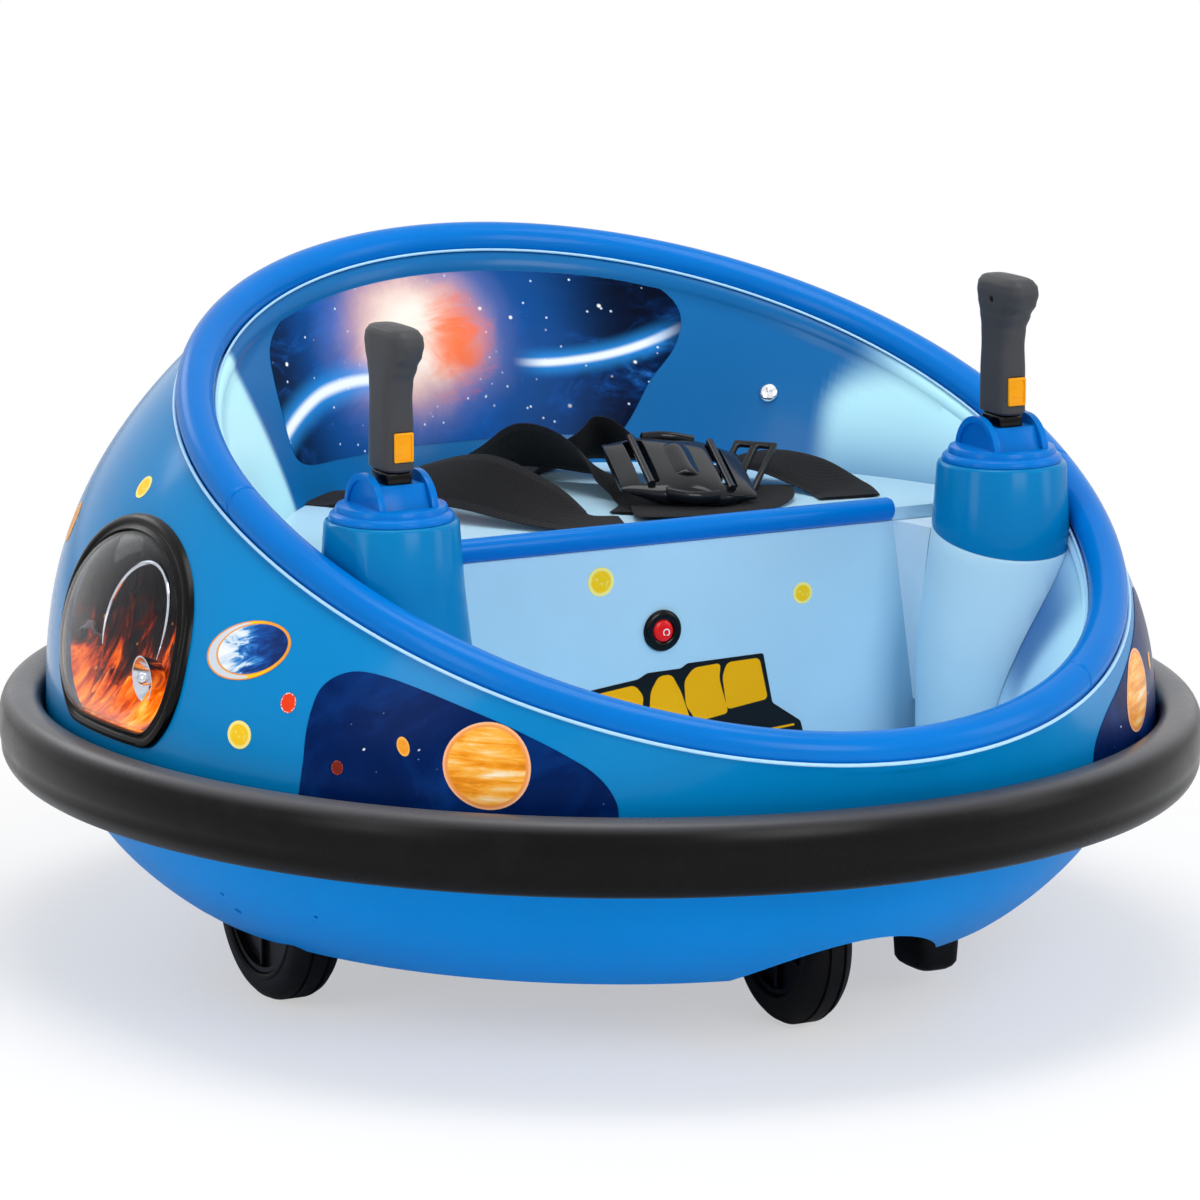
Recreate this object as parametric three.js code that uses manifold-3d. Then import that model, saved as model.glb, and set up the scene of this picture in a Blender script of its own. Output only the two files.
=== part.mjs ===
// A child's electric ride-on bumper car: a round blue tub with a black bumper ring, a reclined rim,
// two tilting joysticks, two driven wheels and two swivelling casters.
// Millimetres. +X is the front, +Y is the driver's left, +Z is up.
// The origin is on the ground under the centre of the bumper ring.
import * as THREE from 'three';
import { mergeVertices } from 'three/addons/utils/BufferGeometryUtils.js';
import Module from 'manifold-3d';

const wasm = await Module();
wasm.setup();

// ---------------------------------------------------------------- driving dimensions

const gap = 0.3;                 // air left between pieces that touch
const wall = 3;                  // thickness of the moulded shells

// casters: a fork under a round well, with its swivel axis behind the axle
const casterRadius = 49;
const casterTyreWidth = 27;
const casterRimRadius = 33;
const casterAxleRadius = 4;
const casterTrail = 14;          // from the swivel axis forward to the axle
const casterPivotY = 12;
const casterWellOffset = 9;      // from the swivel axis out to the well's axis
const casterWellClearance = 8;   // beside the turning wheel
const casterWellRadius = casterTrail + casterRadius + casterWellOffset + casterWellClearance;
const casterTopClearance = 6.8;  // from the tyre up to the crown
const casterArmGap = 3;
const casterArmThick = 4;
const casterArmEnd = 9;          // radius of an arm's round end
const casterCrownThick = 4.6;
const casterCrownRadius = 23;
const casterMountRadius = 26;
const casterMountThick = 3;
const kingpinRadius = 5;
const crownBottom = 2 * casterRadius + casterTopClearance;
const crownTop = crownBottom + casterCrownThick;
const casterWellCeiling = crownTop + casterMountThick + 2 * gap;

// bumper ring, an oval in plan
const ringHalfLength = 353;
const ringHalfWidth = 330;
const ringThick = 26.2;          // measured radially
const ringTall = 41.3;
const tubFloorHeight = casterWellCeiling + 2 * wall + gap;
const ringAboveFloor = 10.7;
const ringHeight = tubFloorHeight + ringAboveFloor;   // of its centre, where the body halves meet
const baseHalfLength = ringHalfLength - ringThick - gap;
const baseHalfWidth = ringHalfWidth - ringThick - gap;

// reclined rim: two half ovals joined at the widest point, in one sloping plane
const rimCentreX = 51.9;
const rimMidHeight = ringHeight + 152.5;
const rimFrontHeight = ringHeight + 48.7;
const rimFrontReach = ringHalfLength - rimCentreX - 17.4;
const rimRearReach = ringHalfLength + rimCentreX - 154.3;
const rimHalfWidth = ringHalfWidth - 87;
const rimSlope = (rimMidHeight - rimFrontHeight) / rimFrontReach;
const rimTubeRadius = 10.5;
const rimSeams = [-89, 31, 81];  // degrees round from the front, where the trim pieces meet
const flankBulge = 2.88;         // how late the flank leans in on its way up
const tubFlare = 2;              // how late the tub's wall leans out on its way up

// lower hull, a shallow bowl with a flat floor
const hullFloorHeight = 40;
const hullFloorHalfLength = baseHalfLength - 79.1;
const hullFloorHalfWidth = baseHalfWidth - 71.9;
const hullBrimHalfLength = baseHalfLength - 24.5;
const hullBrimHalfWidth = baseHalfWidth - 10.5;
const hullTopHeight = ringHeight - 18;       // above this it flares out into the shelf under the ring
const hullBrimRise = hullTopHeight - hullFloorHeight + 9;   // the bowl's curve would end this far up
const hullRoundness = 1.86;
const hullSharpness = 0.935;
const shelfRise = 5;

// cockpit
const tubFloorCentreX = 70;
const tubFloorFrontReach = ringHalfLength - tubFloorCentreX - 68;
const tubFloorRearReach = ringHalfLength + tubFloorCentreX - 223;
const tubFloorHalfWidth = ringHalfWidth - 155;
const seatHeight = rimMidHeight - 33.5;
const seatPlate = 4;
const seatFrontX = 74;           // front face of the apron below the seat
const seatRollRadius = 6.5;

// joysticks and the pods that carry them
const podRadius = 35.8;
const podTopHeight = rimMidHeight - 2.5;
const podBendDepth = 35;         // below its top, where a pod widens faster
const capTaper = 0.07;
const pedestalTaper = 0.115;
const pedestalMaxRadius = podRadius + 10.6;
const stickX = seatFrontX + pedestalMaxRadius + 2 * gap;
const stickY = rimHalfWidth - 54.7;
const seatRollHalfLength = stickY - podRadius - 6.5;
const capSlope = 0.25;           // slope of the parting line between a pod and its pedestal
const capDepth = { left: 40, right: 76 };
const flangeLowRadius = podRadius - 2.5;
const flangeHighRadius = podRadius - 5.9;
const flangeChamfer = 1.5;
const flangeStep = 4;
const stickAxisAbovePod = 4;
const cheekRadius = 21.5;
const cheekThick = 3.8;
const drumHalfWidth = 13.2;
const drumHalfLength = 19.2;
const drumRise = 12.5;
const stickPinRadius = 3;
const stickPinReach = 2;         // how far the pin's ends enter the cheeks
const neckLength = 20;
const neckWidth = 15;
const neckRise = 9.5;
const handleHeight = 77;
const handleDepth = 29;
const handleWidth = 18;
const handleRounding = 3;
const headForward = 11;          // how far the handle's head leans over its grip
const buttonWidth = 11;
const buttonTall = 15.7;
const buttonProud = 1.6;
const buttonRise = 5.5;          // from the handle's foot up to the button

// power switch
const switchHeight = seatHeight - 55.5;
const switchRadius = 11.5;
const switchProud = 2.8;
const rockerRadius = 6.2;

// headlamps, one on each flank
const lampX = 2;
const lampHeight = ringHeight + 75;
const lampHalfLength = 74;
const lampHalfHeight = 63;
const lampLean = 0.15;
const lampSquareness = 0.9;
const lampSillHeight = ringHeight + ringTall / 2 + 2.85;   // cut off flat above the bumper ring
const lampBezelWidth = 8;
const lampBezelProud = 3.2;
const lampDome = 12;             // how far the lens bulges out of its bezel
const lampDepth = 30;
const lensThick = 2.5;

// drive wheels
const driveX = 19;
const driveY = hullFloorHalfWidth - 25.1;
const driveRadius = 55;
const driveTyreWidth = 31;
const driveRimRadius = 40;
const driveAxleRadius = 6;
const wheelClearance = 4.5;
const hubDish = 5;               // how deep a hub's faces are dished

// inside and underneath
const casterWellX = hullBrimHalfLength - 110;
const casterPivotX = casterWellX - casterWellOffset;
const batteryLength = 65;
const batteryWidth = tubFloorHalfWidth - 24;
const batteryHeight = seatHeight - seatPlate - tubFloorHeight - 31.7;
const batteryX = tubFloorCentreX - tubFloorRearReach + 68;
const gearboxSize = { x: 84, y: 44, z: 56 };
const footSize = { x: 35, y: 28, z: 28 };
const footX = 167.5;
const footY = casterPivotY + casterWellRadius + 22;

// harness lying on the seat
const strapWidth = 38;
const strapThick = 2.4;
const buckleSize = { x: 50, y: 50, z: 15 };

// how finely round things are divided
const bodySteps = 40;
const wheelSteps = 20;
const roundSteps = 20;           // pods, flanges and other small rounds
const turn = 2 * Math.PI;

// ---------------------------------------------------------------- materials

const finish = (color, roughness, metalness = 0) =>
  new THREE.MeshStandardMaterial({ color, roughness, metalness });
const blueShell = () => finish(0x0d7fc4, 0.25);
const blueHull = () => finish(0x008cdc, 0.3);
const deepBlue = () => finish(0x0b62c4, 0.35);
const paleBlue = () => finish(0x9ccbf0, 0.35);
const blackRubber = () => finish(0x17171a, 0.6);
const blackPlastic = () => finish(0x101012, 0.45);
const greyGrip = () => finish(0x4a4a4c, 0.55);
const amber = () => finish(0xf5a800, 0.4);
const steel = () => finish(0xb8bcc2, 0.3, 1);

// ---------------------------------------------------------------- solids

const v3 = (x, y, z) => new THREE.Vector3(x, y, z);

/** Six times the signed volume that a triangle list encloses. */
function signedVolume(points, index) {
  let sum = 0;
  const normal = v3(0, 0, 0);
  for (let i = 0; i < index.length; i += 3) {
    normal.crossVectors(points[index[i + 1]], points[index[i + 2]]);
    sum += points[index[i]].dot(normal);
  }
  return sum;
}

/** A closed geometry from shared points and triangles, turned so that its faces point out. */
function closedGeometry(points, index) {
  const outward = signedVolume(points, index) > 0 ? index : index.slice().reverse();
  const geometry = new THREE.BufferGeometry();
  geometry.setFromPoints(points);
  geometry.setIndex(outward);
  geometry.computeVertexNormals();
  return geometry;
}

/** A body swept through loops of points; it closes on itself, or is capped at both ends. */
function sweep(loops, closed) {
  const rows = loops.length;
  const columns = loops[0].length;
  const points = loops.flat();
  const index = [];
  for (let i = 0; i < (closed ? rows : rows - 1); i++) {
    const next = ((i + 1) % rows) * columns;
    for (let j = 0; j < columns; j++) {
      const k = (j + 1) % columns;
      index.push(i * columns + j, next + j, next + k);
      index.push(i * columns + j, next + k, i * columns + k);
    }
  }
  if (!closed) {
    for (const [start, reversed] of [[0, false], [(rows - 1) * columns, true]]) {
      const centre = v3(0, 0, 0);
      for (let j = 0; j < columns; j++) centre.add(points[start + j]);
      points.push(centre.divideScalar(columns));
      const hub = points.length - 1;
      for (let j = 0; j < columns; j++) {
        const k = (j + 1) % columns;
        index.push(hub, start + (reversed ? k : j), start + (reversed ? j : k));
      }
    }
  }
  return closedGeometry(points, index);
}

/** The manifold solid of a closed geometry. */
function solid(geometry) {
  const bare = geometry.clone();
  bare.deleteAttribute('normal');
  bare.deleteAttribute('uv');
  const merged = mergeVertices(bare, 1e-4);
  const index = merged.index.array;
  const kept = [];
  for (let i = 0; i < index.length; i += 3) {
    const [a, b, c] = [index[i], index[i + 1], index[i + 2]];
    if (a !== b && b !== c && c !== a) kept.push(a, b, c);
  }
  return new wasm.Manifold(new wasm.Mesh({
    numProp: 3,
    vertProperties: new Float32Array(merged.attributes.position.array),
    triVerts: new Uint32Array(kept),
  }));
}

/** The three.js geometry of a manifold solid. */
function geometryOf(body) {
  const mesh = body.getMesh();
  const geometry = new THREE.BufferGeometry();
  geometry.setAttribute('position', new THREE.BufferAttribute(mesh.vertProperties, 3));
  geometry.setIndex(new THREE.BufferAttribute(mesh.triVerts, 1));
  geometry.computeVertexNormals();
  return geometry;
}

/** A box between two corners. */
function block(low, high) {
  const size = high.map((value, i) => value - low[i]);
  const box = new THREE.BoxGeometry(...size);
  return box.translate(...low.map((value, i) => value + size[i] / 2));
}

/** An upright cylinder or cone frustum standing on z = low. */
function upright(radiusLow, radiusHigh, low, high, steps = roundSteps) {
  const cone = new THREE.CylinderGeometry(radiusHigh, radiusLow, high - low, steps);
  return cone.rotateX(Math.PI / 2).translate(0, 0, (low + high) / 2);
}

/** A cylinder along Y between two stations. */
function crossBar(radius, low, high, steps = 12) {
  return new THREE.CylinderGeometry(radius, radius, high - low, steps).translate(0, (low + high) / 2, 0);
}

/** A shape drawn in X and Z, extruded along Y about its middle. */
function sidePlate(shape, width, bevel = 0) {
  const plate = new THREE.ExtrudeGeometry(shape, {
    depth: width - 2 * bevel,
    bevelEnabled: bevel > 0,
    bevelThickness: bevel,
    bevelSize: bevel,
    bevelOffset: -bevel,
    bevelSegments: 1,
    curveSegments: 5,
  });
  return plate.translate(0, 0, -(width - 2 * bevel) / 2).rotateX(Math.PI / 2);
}

/** An oval loop at one height. */
function ovalLoop(halfLength, halfWidth, height) {
  return Array.from({ length: bodySteps }, (_, i) => {
    const angle = (i / bodySteps) * turn;
    return v3(halfLength * Math.cos(angle), halfWidth * Math.sin(angle), height);
  });
}

/** A point of a two-part oval, moved out along its plan normal. */
function twoPartOval(angle, centreX, frontReach, rearReach, halfWidth, outward) {
  const reach = Math.cos(angle) >= 0 ? frontReach : rearReach;
  const normal = new THREE.Vector2(Math.cos(angle) / reach, Math.sin(angle) / halfWidth).normalize();
  return new THREE.Vector2(
    centreX + reach * Math.cos(angle) + normal.x * outward,
    halfWidth * Math.sin(angle) + normal.y * outward,
  );
}

/** A point on the rim's centre line, moved outward and up. */
function rimPoint(angle, outward = 0, up = 0) {
  const centre = twoPartOval(angle, rimCentreX, rimFrontReach, rimRearReach, rimHalfWidth, 0);
  const moved = twoPartOval(angle, rimCentreX, rimFrontReach, rimRearReach, rimHalfWidth, outward);
  return v3(moved.x, moved.y, rimMidHeight - rimSlope * (centre.x - rimCentreX) + up);
}

// where the shell's and the tub's edges sit under the trim tube: out and down from its centre
const edgeDistance = rimTubeRadius + 2 * gap;
const nearEdge = { out: edgeDistance * Math.cos(Math.PI / 6), down: edgeDistance * Math.sin(Math.PI / 6) };
const farEdge = { out: edgeDistance * 0.6, down: edgeDistance * 0.8 };

// ---------------------------------------------------------------- upper shell

/** A point on the flank: up = 0 at the parting line, 1 at the rim; inset is measured inwards. */
function flankPoint(angle, up, inset = 0) {
  const edge = inset > 0 ? farEdge : nearEdge;
  const top = rimPoint(angle, edge.out, -edge.down);
  const baseX = (baseHalfLength - inset) * Math.cos(angle);
  const baseY = (baseHalfWidth - inset) * Math.sin(angle);
  const lean = up ** flankBulge;
  const low = ringHeight + gap / 2;
  return v3(baseX + (top.x - baseX) * lean, baseY + (top.y - baseY) * lean, low + (top.z - low) * up);
}

/** The flank's point at a place seen from the side, on the left (side = 1) or right (-1). */
function flankAt(x, z, side) {
  let angle = Math.PI / 2;
  let point = flankPoint(angle, 0.5);
  for (let pass = 0; pass < 30; pass++) {
    const top = rimPoint(angle, nearEdge.out, -nearEdge.down).z;
    const low = ringHeight + gap / 2;
    point = flankPoint(angle, Math.max(0, (z - low) / (top - low)));
    angle += (point.x - x) / (2 * baseHalfLength);
  }
  return v3(x, side * point.y, z);
}

const flankRows = 6;
const shellSections = Array.from({ length: bodySteps }, (_, i) => {
  const angle = (i / bodySteps) * turn;
  const rows = Array.from({ length: flankRows + 1 }, (_, k) => k / flankRows);
  const outside = rows.map((up) => flankPoint(angle, up));
  const inside = rows.map((up) => flankPoint(angle, up, wall)).reverse();
  return [...outside, ...inside];
});

/** A lamp outline point: size 1 is the bezel's outer edge. */
function lampOutline(step, steps, size) {
  const angle = (step / steps) * turn;
  const sine = Math.sin(angle);
  const rise = size * lampHalfHeight * Math.sign(sine) * Math.abs(sine) ** lampSquareness;
  const sill = lampSillHeight - lampHeight + (1 - size) * lampHalfHeight;
  const z = Math.max(rise, sill);
  return { x: lampX + size * lampHalfLength * Math.cos(angle) - lampLean * z, z: lampHeight + z };
}

const lampSteps = 20;
const lampInner = 1 - lampBezelWidth / lampHalfHeight;
const lampRing = (size) => Array.from({ length: lampSteps }, (_, i) => lampOutline(i, lampSteps, size));

/** A loop on the flank round the lamp, moved out from the surface by a distance along Y. */
const lampLoop = (size, out, side) =>
  lampRing(size).map(({ x, z }) => flankAt(x, z, side).add(v3(0, side * out, 0)));

/** The straight-sided cutter that opens the flank for a lamp. */
function lampOpening(side) {
  const openingSize = lampInner + 0.03;        // a little wider than the housing's mouth
  const near = lampRing(openingSize).map(({ x, z }) => v3(x, side * (rimHalfWidth - rimTubeRadius), z));
  const far = lampRing(openingSize).map(({ x, z }) => v3(x, side * ringHalfWidth, z));
  return sweep([near, far], false);
}

const upperShell = [1, -1].reduce(
  (shell, side) => shell.subtract(solid(lampOpening(side))),
  solid(sweep(shellSections, true)),
);

// ---------------------------------------------------------------- lower hull

const hullRows = 5;

/** Loops of the bowl from its flat floor up to the parting line. */
function hullLoops(inset, topHeight) {
  const loops = [];
  for (let k = 0; k <= hullRows; k++) {
    const rise = (hullTopHeight - hullFloorHeight) * (k / hullRows);
    const spread = (1 - (1 - rise / hullBrimRise) ** hullRoundness) ** hullSharpness;
    const halfLength = hullFloorHalfLength + (hullBrimHalfLength - hullFloorHalfLength) * spread;
    const halfWidth = hullFloorHalfWidth + (hullBrimHalfWidth - hullFloorHalfWidth) * spread;
    loops.push(ovalLoop(halfLength - inset, halfWidth - inset, hullFloorHeight + inset + rise));
  }
  const shelf = hullTopHeight + shelfRise + inset;
  loops.push(ovalLoop(baseHalfLength - inset, baseHalfWidth - inset, shelf));
  loops.push(ovalLoop(baseHalfLength - inset, baseHalfWidth - inset, topHeight));
  return loops;
}

const bowl = solid(sweep(hullLoops(0, ringHeight - gap / 2), false));
const bowlInside = solid(sweep(hullLoops(wall, ringHeight + wall), false));
const wellFloor = hullFloorHeight - wall;
let lowerHull = bowl.subtract(bowlInside);
for (const end of [1, -1]) {
  const place = [end * casterWellX, end * casterPivotY, 0];
  const cup = upright(casterWellRadius + wall, casterWellRadius + wall, wellFloor, casterWellCeiling + wall);
  const hollow = upright(casterWellRadius, casterWellRadius, wellFloor - wall, casterWellCeiling);
  lowerHull = lowerHull.add(solid(cup.translate(...place)).intersect(bowl));
  lowerHull = lowerHull.subtract(solid(hollow.translate(...place)));
}
for (const side of [1, -1]) {
  const reach = driveRadius + wheelClearance;
  const halfTyre = driveTyreWidth / 2 + wheelClearance;
  const edges = [side * (driveY - halfTyre), side * (driveY + halfTyre)].sort((a, b) => a - b);
  const slot = block(
    [driveX - reach, edges[0], wellFloor],
    [driveX + reach, edges[1], driveRadius],
  );
  lowerHull = lowerHull.subtract(solid(slot));
}

// ---------------------------------------------------------------- bumper ring

const ringSides = 12;
const ringSquareness = 0.75;

const ringSections = Array.from({ length: bodySteps }, (_, i) => {
  const angle = (i / bodySteps) * turn;
  const normal = new THREE.Vector2(
    Math.cos(angle) / (ringHalfLength - ringThick),
    Math.sin(angle) / (ringHalfWidth - ringThick),
  ).normalize();
  return Array.from({ length: ringSides }, (_, j) => {
    const around = ((j + 0.5) / ringSides) * turn;
    const round = (value) => Math.sign(value) * Math.abs(value) ** ringSquareness;
    const most = round(Math.cos(turn / (2 * ringSides)));
    const out = (ringThick / 2) * (1 + round(Math.cos(around)) / most);
    return v3(
      (ringHalfLength - ringThick) * Math.cos(angle) + normal.x * out,
      (ringHalfWidth - ringThick) * Math.sin(angle) + normal.y * out,
      ringHeight + ((ringTall / 2) * round(Math.sin(around))) / most,
    );
  });
});

// ---------------------------------------------------------------- cockpit

/** A loop of the tub's surface: up = 0 at the floor, 1 at the rim; inset is measured inwards. */
function tubLoop(up, inset, floorHeight) {
  return Array.from({ length: bodySteps }, (_, i) => {
    const angle = (i / bodySteps) * turn;
    const foot = twoPartOval(
      angle, tubFloorCentreX, tubFloorFrontReach, tubFloorRearReach, tubFloorHalfWidth, -inset);
    const edge = inset < 0 ? farEdge : nearEdge;
    const top = rimPoint(angle, -edge.out - Math.max(inset, 0), -edge.down);
    const lean = up ** tubFlare;
    return v3(
      foot.x + (top.x - foot.x) * lean,
      foot.y + (top.y - foot.y) * lean,
      floorHeight + (top.z - floorHeight) * up,
    );
  });
}

const tubRows = 5;
const tubLevels = Array.from({ length: tubRows + 1 }, (_, k) => k / tubRows);
const skyHeight = rimMidHeight + rimRearReach;     // above everything

/** The space inside the tub, up past the rim. */
function tubInside(inset, floorHeight) {
  const clearance = rimTubeRadius + 2 * gap + inset;
  const beside = tubLoop(1, inset, floorHeight).map((_, i) => rimPoint((i / bodySteps) * turn, -clearance));
  const sky = beside.map((point) => v3(point.x, point.y, skyHeight));
  return solid(sweep([...tubLevels.map((up) => tubLoop(up, inset, floorHeight)), beside, sky], false));
}

const tubOutside = solid(sweep(tubLevels.map((up) => tubLoop(up, -wall, tubFloorHeight - wall)), false));
const cockpitTub = tubOutside.subtract(tubInside(0, tubFloorHeight));
const room = tubInside(gap, tubFloorHeight + gap);
const wide = 2 * ringHalfWidth;

const rollX = seatFrontX - 0.5;              // the roll stands a little proud of the seat and the apron
const rollHeight = seatHeight - 0.5;
const panFrontX = rollX - seatRollRadius - gap;
const apronTop = rollHeight - seatRollRadius - gap;
const seatPan = room.intersect(solid(block(
  [-wide, -wide, seatHeight - seatPlate],
  [panFrontX, wide, seatHeight],
)));
const seatApron = room.intersect(solid(block(
  [seatFrontX - wall, -wide, 0],
  [seatFrontX, wide, apronTop],
)));

// ---------------------------------------------------------------- pods and joystick bases

const stickAxisHeight = podTopHeight + stickAxisAbovePod;
const slotHalfLength = drumHalfLength + 2.3;     // room for the drum's corners as it tilts
const slotHalfWidth = drumHalfWidth + gap;

/** Everything above (or below) the sloping parting line of a pod, as a cutter round its own axis. */
function partingCutter(depth, above) {
  const span = 400;
  const shift = above ? span / 2 : -span / 2 - gap;
  const cutter = new THREE.BoxGeometry(span, span, span).translate(0, 0, shift);
  return cutter.rotateY(Math.atan(capSlope)).translate(0, 0, podTopHeight - depth);
}

/** The pod's tapering post, solid or shrunk by the wall to hollow it. */
function podPost(inset, top) {
  const bend = podTopHeight - podBendDepth;
  const bendRadius = podRadius + podBendDepth * capTaper;
  const stopHeight = bend - (pedestalMaxRadius - bendRadius) / pedestalTaper;
  const foot = tubFloorHeight + gap;
  const profile = [
    [0, foot - inset],
    [pedestalMaxRadius - inset, foot - inset],
    [pedestalMaxRadius - inset, stopHeight],
    [bendRadius - inset, bend],
    [podRadius + (podTopHeight - top) * capTaper - inset, top],
    [0, top],
  ].map(([r, z]) => new THREE.Vector2(r, z));
  return new THREE.LatheGeometry(profile, roundSteps).rotateX(Math.PI / 2);
}

/** A pod's parts on one side, in place: its cap and the pedestal under it. */
function podParts(side) {
  const depth = side > 0 ? capDepth.left : capDepth.right;
  const place = [stickX, side * stickY, 0];
  const post = solid(podPost(0, podTopHeight).translate(...place));
  const hollow = solid(podPost(wall, podTopHeight - wall).translate(...place));
  const shell = post.subtract(hollow).intersect(room);
  const hole = solid(block(
    [-slotHalfLength, -slotHalfWidth, podTopHeight - 2 * wall],
    [slotHalfLength, slotHalfWidth, podTopHeight + wall],
  ).translate(...place));
  const above = solid(partingCutter(depth, true).translate(...place));
  const below = solid(partingCutter(depth, false).translate(...place));
  return { cap: shell.intersect(above).subtract(hole), pedestal: shell.intersect(below) };
}

/** The stepped flange with its two half-round cheeks, about the stick's own axis. */
function stickBase() {
  const seat = podTopHeight + gap;
  const low = solid(upright(flangeLowRadius, flangeLowRadius - flangeChamfer, seat, seat + flangeStep));
  const top = seat + 2 * flangeStep;
  const high = solid(upright(flangeHighRadius, flangeHighRadius - flangeChamfer, seat + 1, top));
  const slot = solid(block(
    [-slotHalfLength, -slotHalfWidth, seat - 1],
    [slotHalfLength, slotHalfWidth, seat + 3 * flangeStep],
  ));
  let base = low.add(high);
  for (const side of [1, -1]) {
    const profile = new THREE.Shape();
    profile.absarc(0, 0, cheekRadius, 0, Math.PI, false);
    profile.lineTo(-cheekRadius, -2);
    profile.lineTo(cheekRadius, -2);
    const cheek = sidePlate(profile, cheekThick);
    base = base.add(solid(cheek.translate(0, side * (slotHalfWidth + cheekThick / 2), stickAxisHeight)));
  }
  base = base.subtract(slot);
  const boreReach = slotHalfWidth + stickPinReach + gap;
  const bore = crossBar(stickPinRadius + gap, -boreReach, boreReach);
  return base.subtract(solid(bore.translate(0, 0, stickAxisHeight)));
}

// ---------------------------------------------------------------- joystick

/** The tilting drum between the cheeks, with the pin it turns on. */
function stickDrum() {
  const profile = new THREE.Shape();
  profile.moveTo(-drumHalfLength, -1);
  profile.lineTo(drumHalfLength, -1);
  profile.lineTo(drumHalfLength, 3);
  profile.lineTo(neckLength / 2 + 1, drumRise);
  profile.lineTo(-neckLength / 2 - 1, drumRise);
  profile.lineTo(-drumHalfLength, 3);
  const body = solid(sidePlate(profile, 2 * drumHalfWidth));
  const pinEnd = slotHalfWidth + stickPinReach;
  return body.add(solid(crossBar(stickPinRadius, -pinEnd, pinEnd)));
}

const handleFoot = drumRise + neckRise + 2 * gap;

/** The grip with its head leaning forward, drawn from the side. */
function stickHandle() {
  const half = handleDepth / 2;
  const top = handleFoot + handleHeight;
  const grip = new THREE.Shape();
  grip.moveTo(-half, handleFoot);
  grip.lineTo(half, handleFoot);
  grip.lineTo(half, handleFoot + 1.6 * buttonTall);
  grip.quadraticCurveTo(half - 2.5, top - 28, half + headForward * 0.55, top - 19);
  grip.quadraticCurveTo(half + headForward, top - 13, half + headForward * 0.9, top - 6);
  grip.quadraticCurveTo(half + headForward * 0.7, top, half - 2, top);
  grip.lineTo(-half + 4, top);
  grip.quadraticCurveTo(-half - 3.5, top - 2, -half - 3, top - 14);
  grip.quadraticCurveTo(-half + 0.5, top - 30, -half + 0.5, top - 40);
  return sidePlate(grip, handleWidth, handleRounding);
}

// ---------------------------------------------------------------- headlamp

/** The dished housing behind the flank's opening, a closed wall round a hollow. */
function lampHousing(side) {
  const mouth = lampInner - 0.01;
  const sizes = [mouth, mouth * 0.8, mouth * 0.45];
  const loops = sizes.map((size, k) => lampLoop(size, -wall - (lampDepth * k) / 2, side));
  const outer = solid(sweep([lampLoop(mouth, 0, side), ...loops], false));
  const hollowLoops = sizes.map((size, k) =>
    lampLoop(size - 0.04, -1 - ((lampDepth - wall) * k) / 2, side));
  return outer.subtract(solid(sweep([lampLoop(mouth - 0.04, wall, side), ...hollowLoops], false)));
}

/** The black frame on the flank round the lens. */
const lampBezel = (side) => sweep(
  Array.from({ length: lampSteps }, (_, i) => [
    [1, 2 * gap], [1 - 0.02, lampBezelProud], [lampInner, lampBezelProud], [lampInner, 2 * gap],
  ].map(([size, out]) => {
    const { x, z } = lampOutline(i, lampSteps, size);
    return flankAt(x, z, side).add(v3(0, side * out, 0));
  })),
  true,
);

/** The clear dome in the frame. */
function lampLens(side) {
  const edge = lampInner - 0.012;
  const dome = (size) => lampBezelProud + lampDome * Math.sqrt(Math.max(0, 1 - (size / edge) ** 2));
  const sizes = [edge, edge * 0.88, edge * 0.5];
  const outside = [lampLoop(edge, gap, side), ...sizes.map((size) => lampLoop(size, dome(size), side))];
  const inside = [lampLoop(edge * 0.95, gap - 2, side),
    ...sizes.map((size) => lampLoop(size * 0.95, dome(size) - lensThick, side))];
  return solid(sweep(outside, false)).subtract(solid(sweep(inside, false)));
}

// ---------------------------------------------------------------- wheels and casters

/** A wheel profile turned about Y: pairs of radius and station across. */
const turned = (profile, steps) =>
  new THREE.LatheGeometry(profile.map(([r, y]) => new THREE.Vector2(r, y)), steps);

/** A tyre with rounded shoulders, open in the middle for its hub. */
function tyre(radius, width, innerRadius) {
  const face = width / 2;
  const shoulder = width * 0.3;
  const bend = { r: radius - shoulder * 0.3, y: face - shoulder * 0.6 };
  return turned([
    [innerRadius, -face], [radius - shoulder, -face], [bend.r, -bend.y], [radius, shoulder - face],
    [radius, face - shoulder], [bend.r, bend.y], [radius - shoulder, face],
    [innerRadius, face], [innerRadius, -face],
  ], wheelSteps);
}

/** A hub dished on both faces, with a round bore for its axle. */
function hub(radius, width, boreRadius) {
  const face = width / 2;
  const web = face - hubDish;
  const rimEdge = radius - 4;
  const boss = boreRadius + 7;
  return turned([
    [boreRadius, -face], [boss, -face], [boss + 2, -web], [rimEdge, -web], [radius, 1 - face],
    [radius, face - 1], [rimEdge, web], [boss + 2, web], [boss, face],
    [boreRadius, face], [boreRadius, -face],
  ], wheelSteps);
}

const armInner = casterTyreWidth / 2 + casterArmGap;

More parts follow.
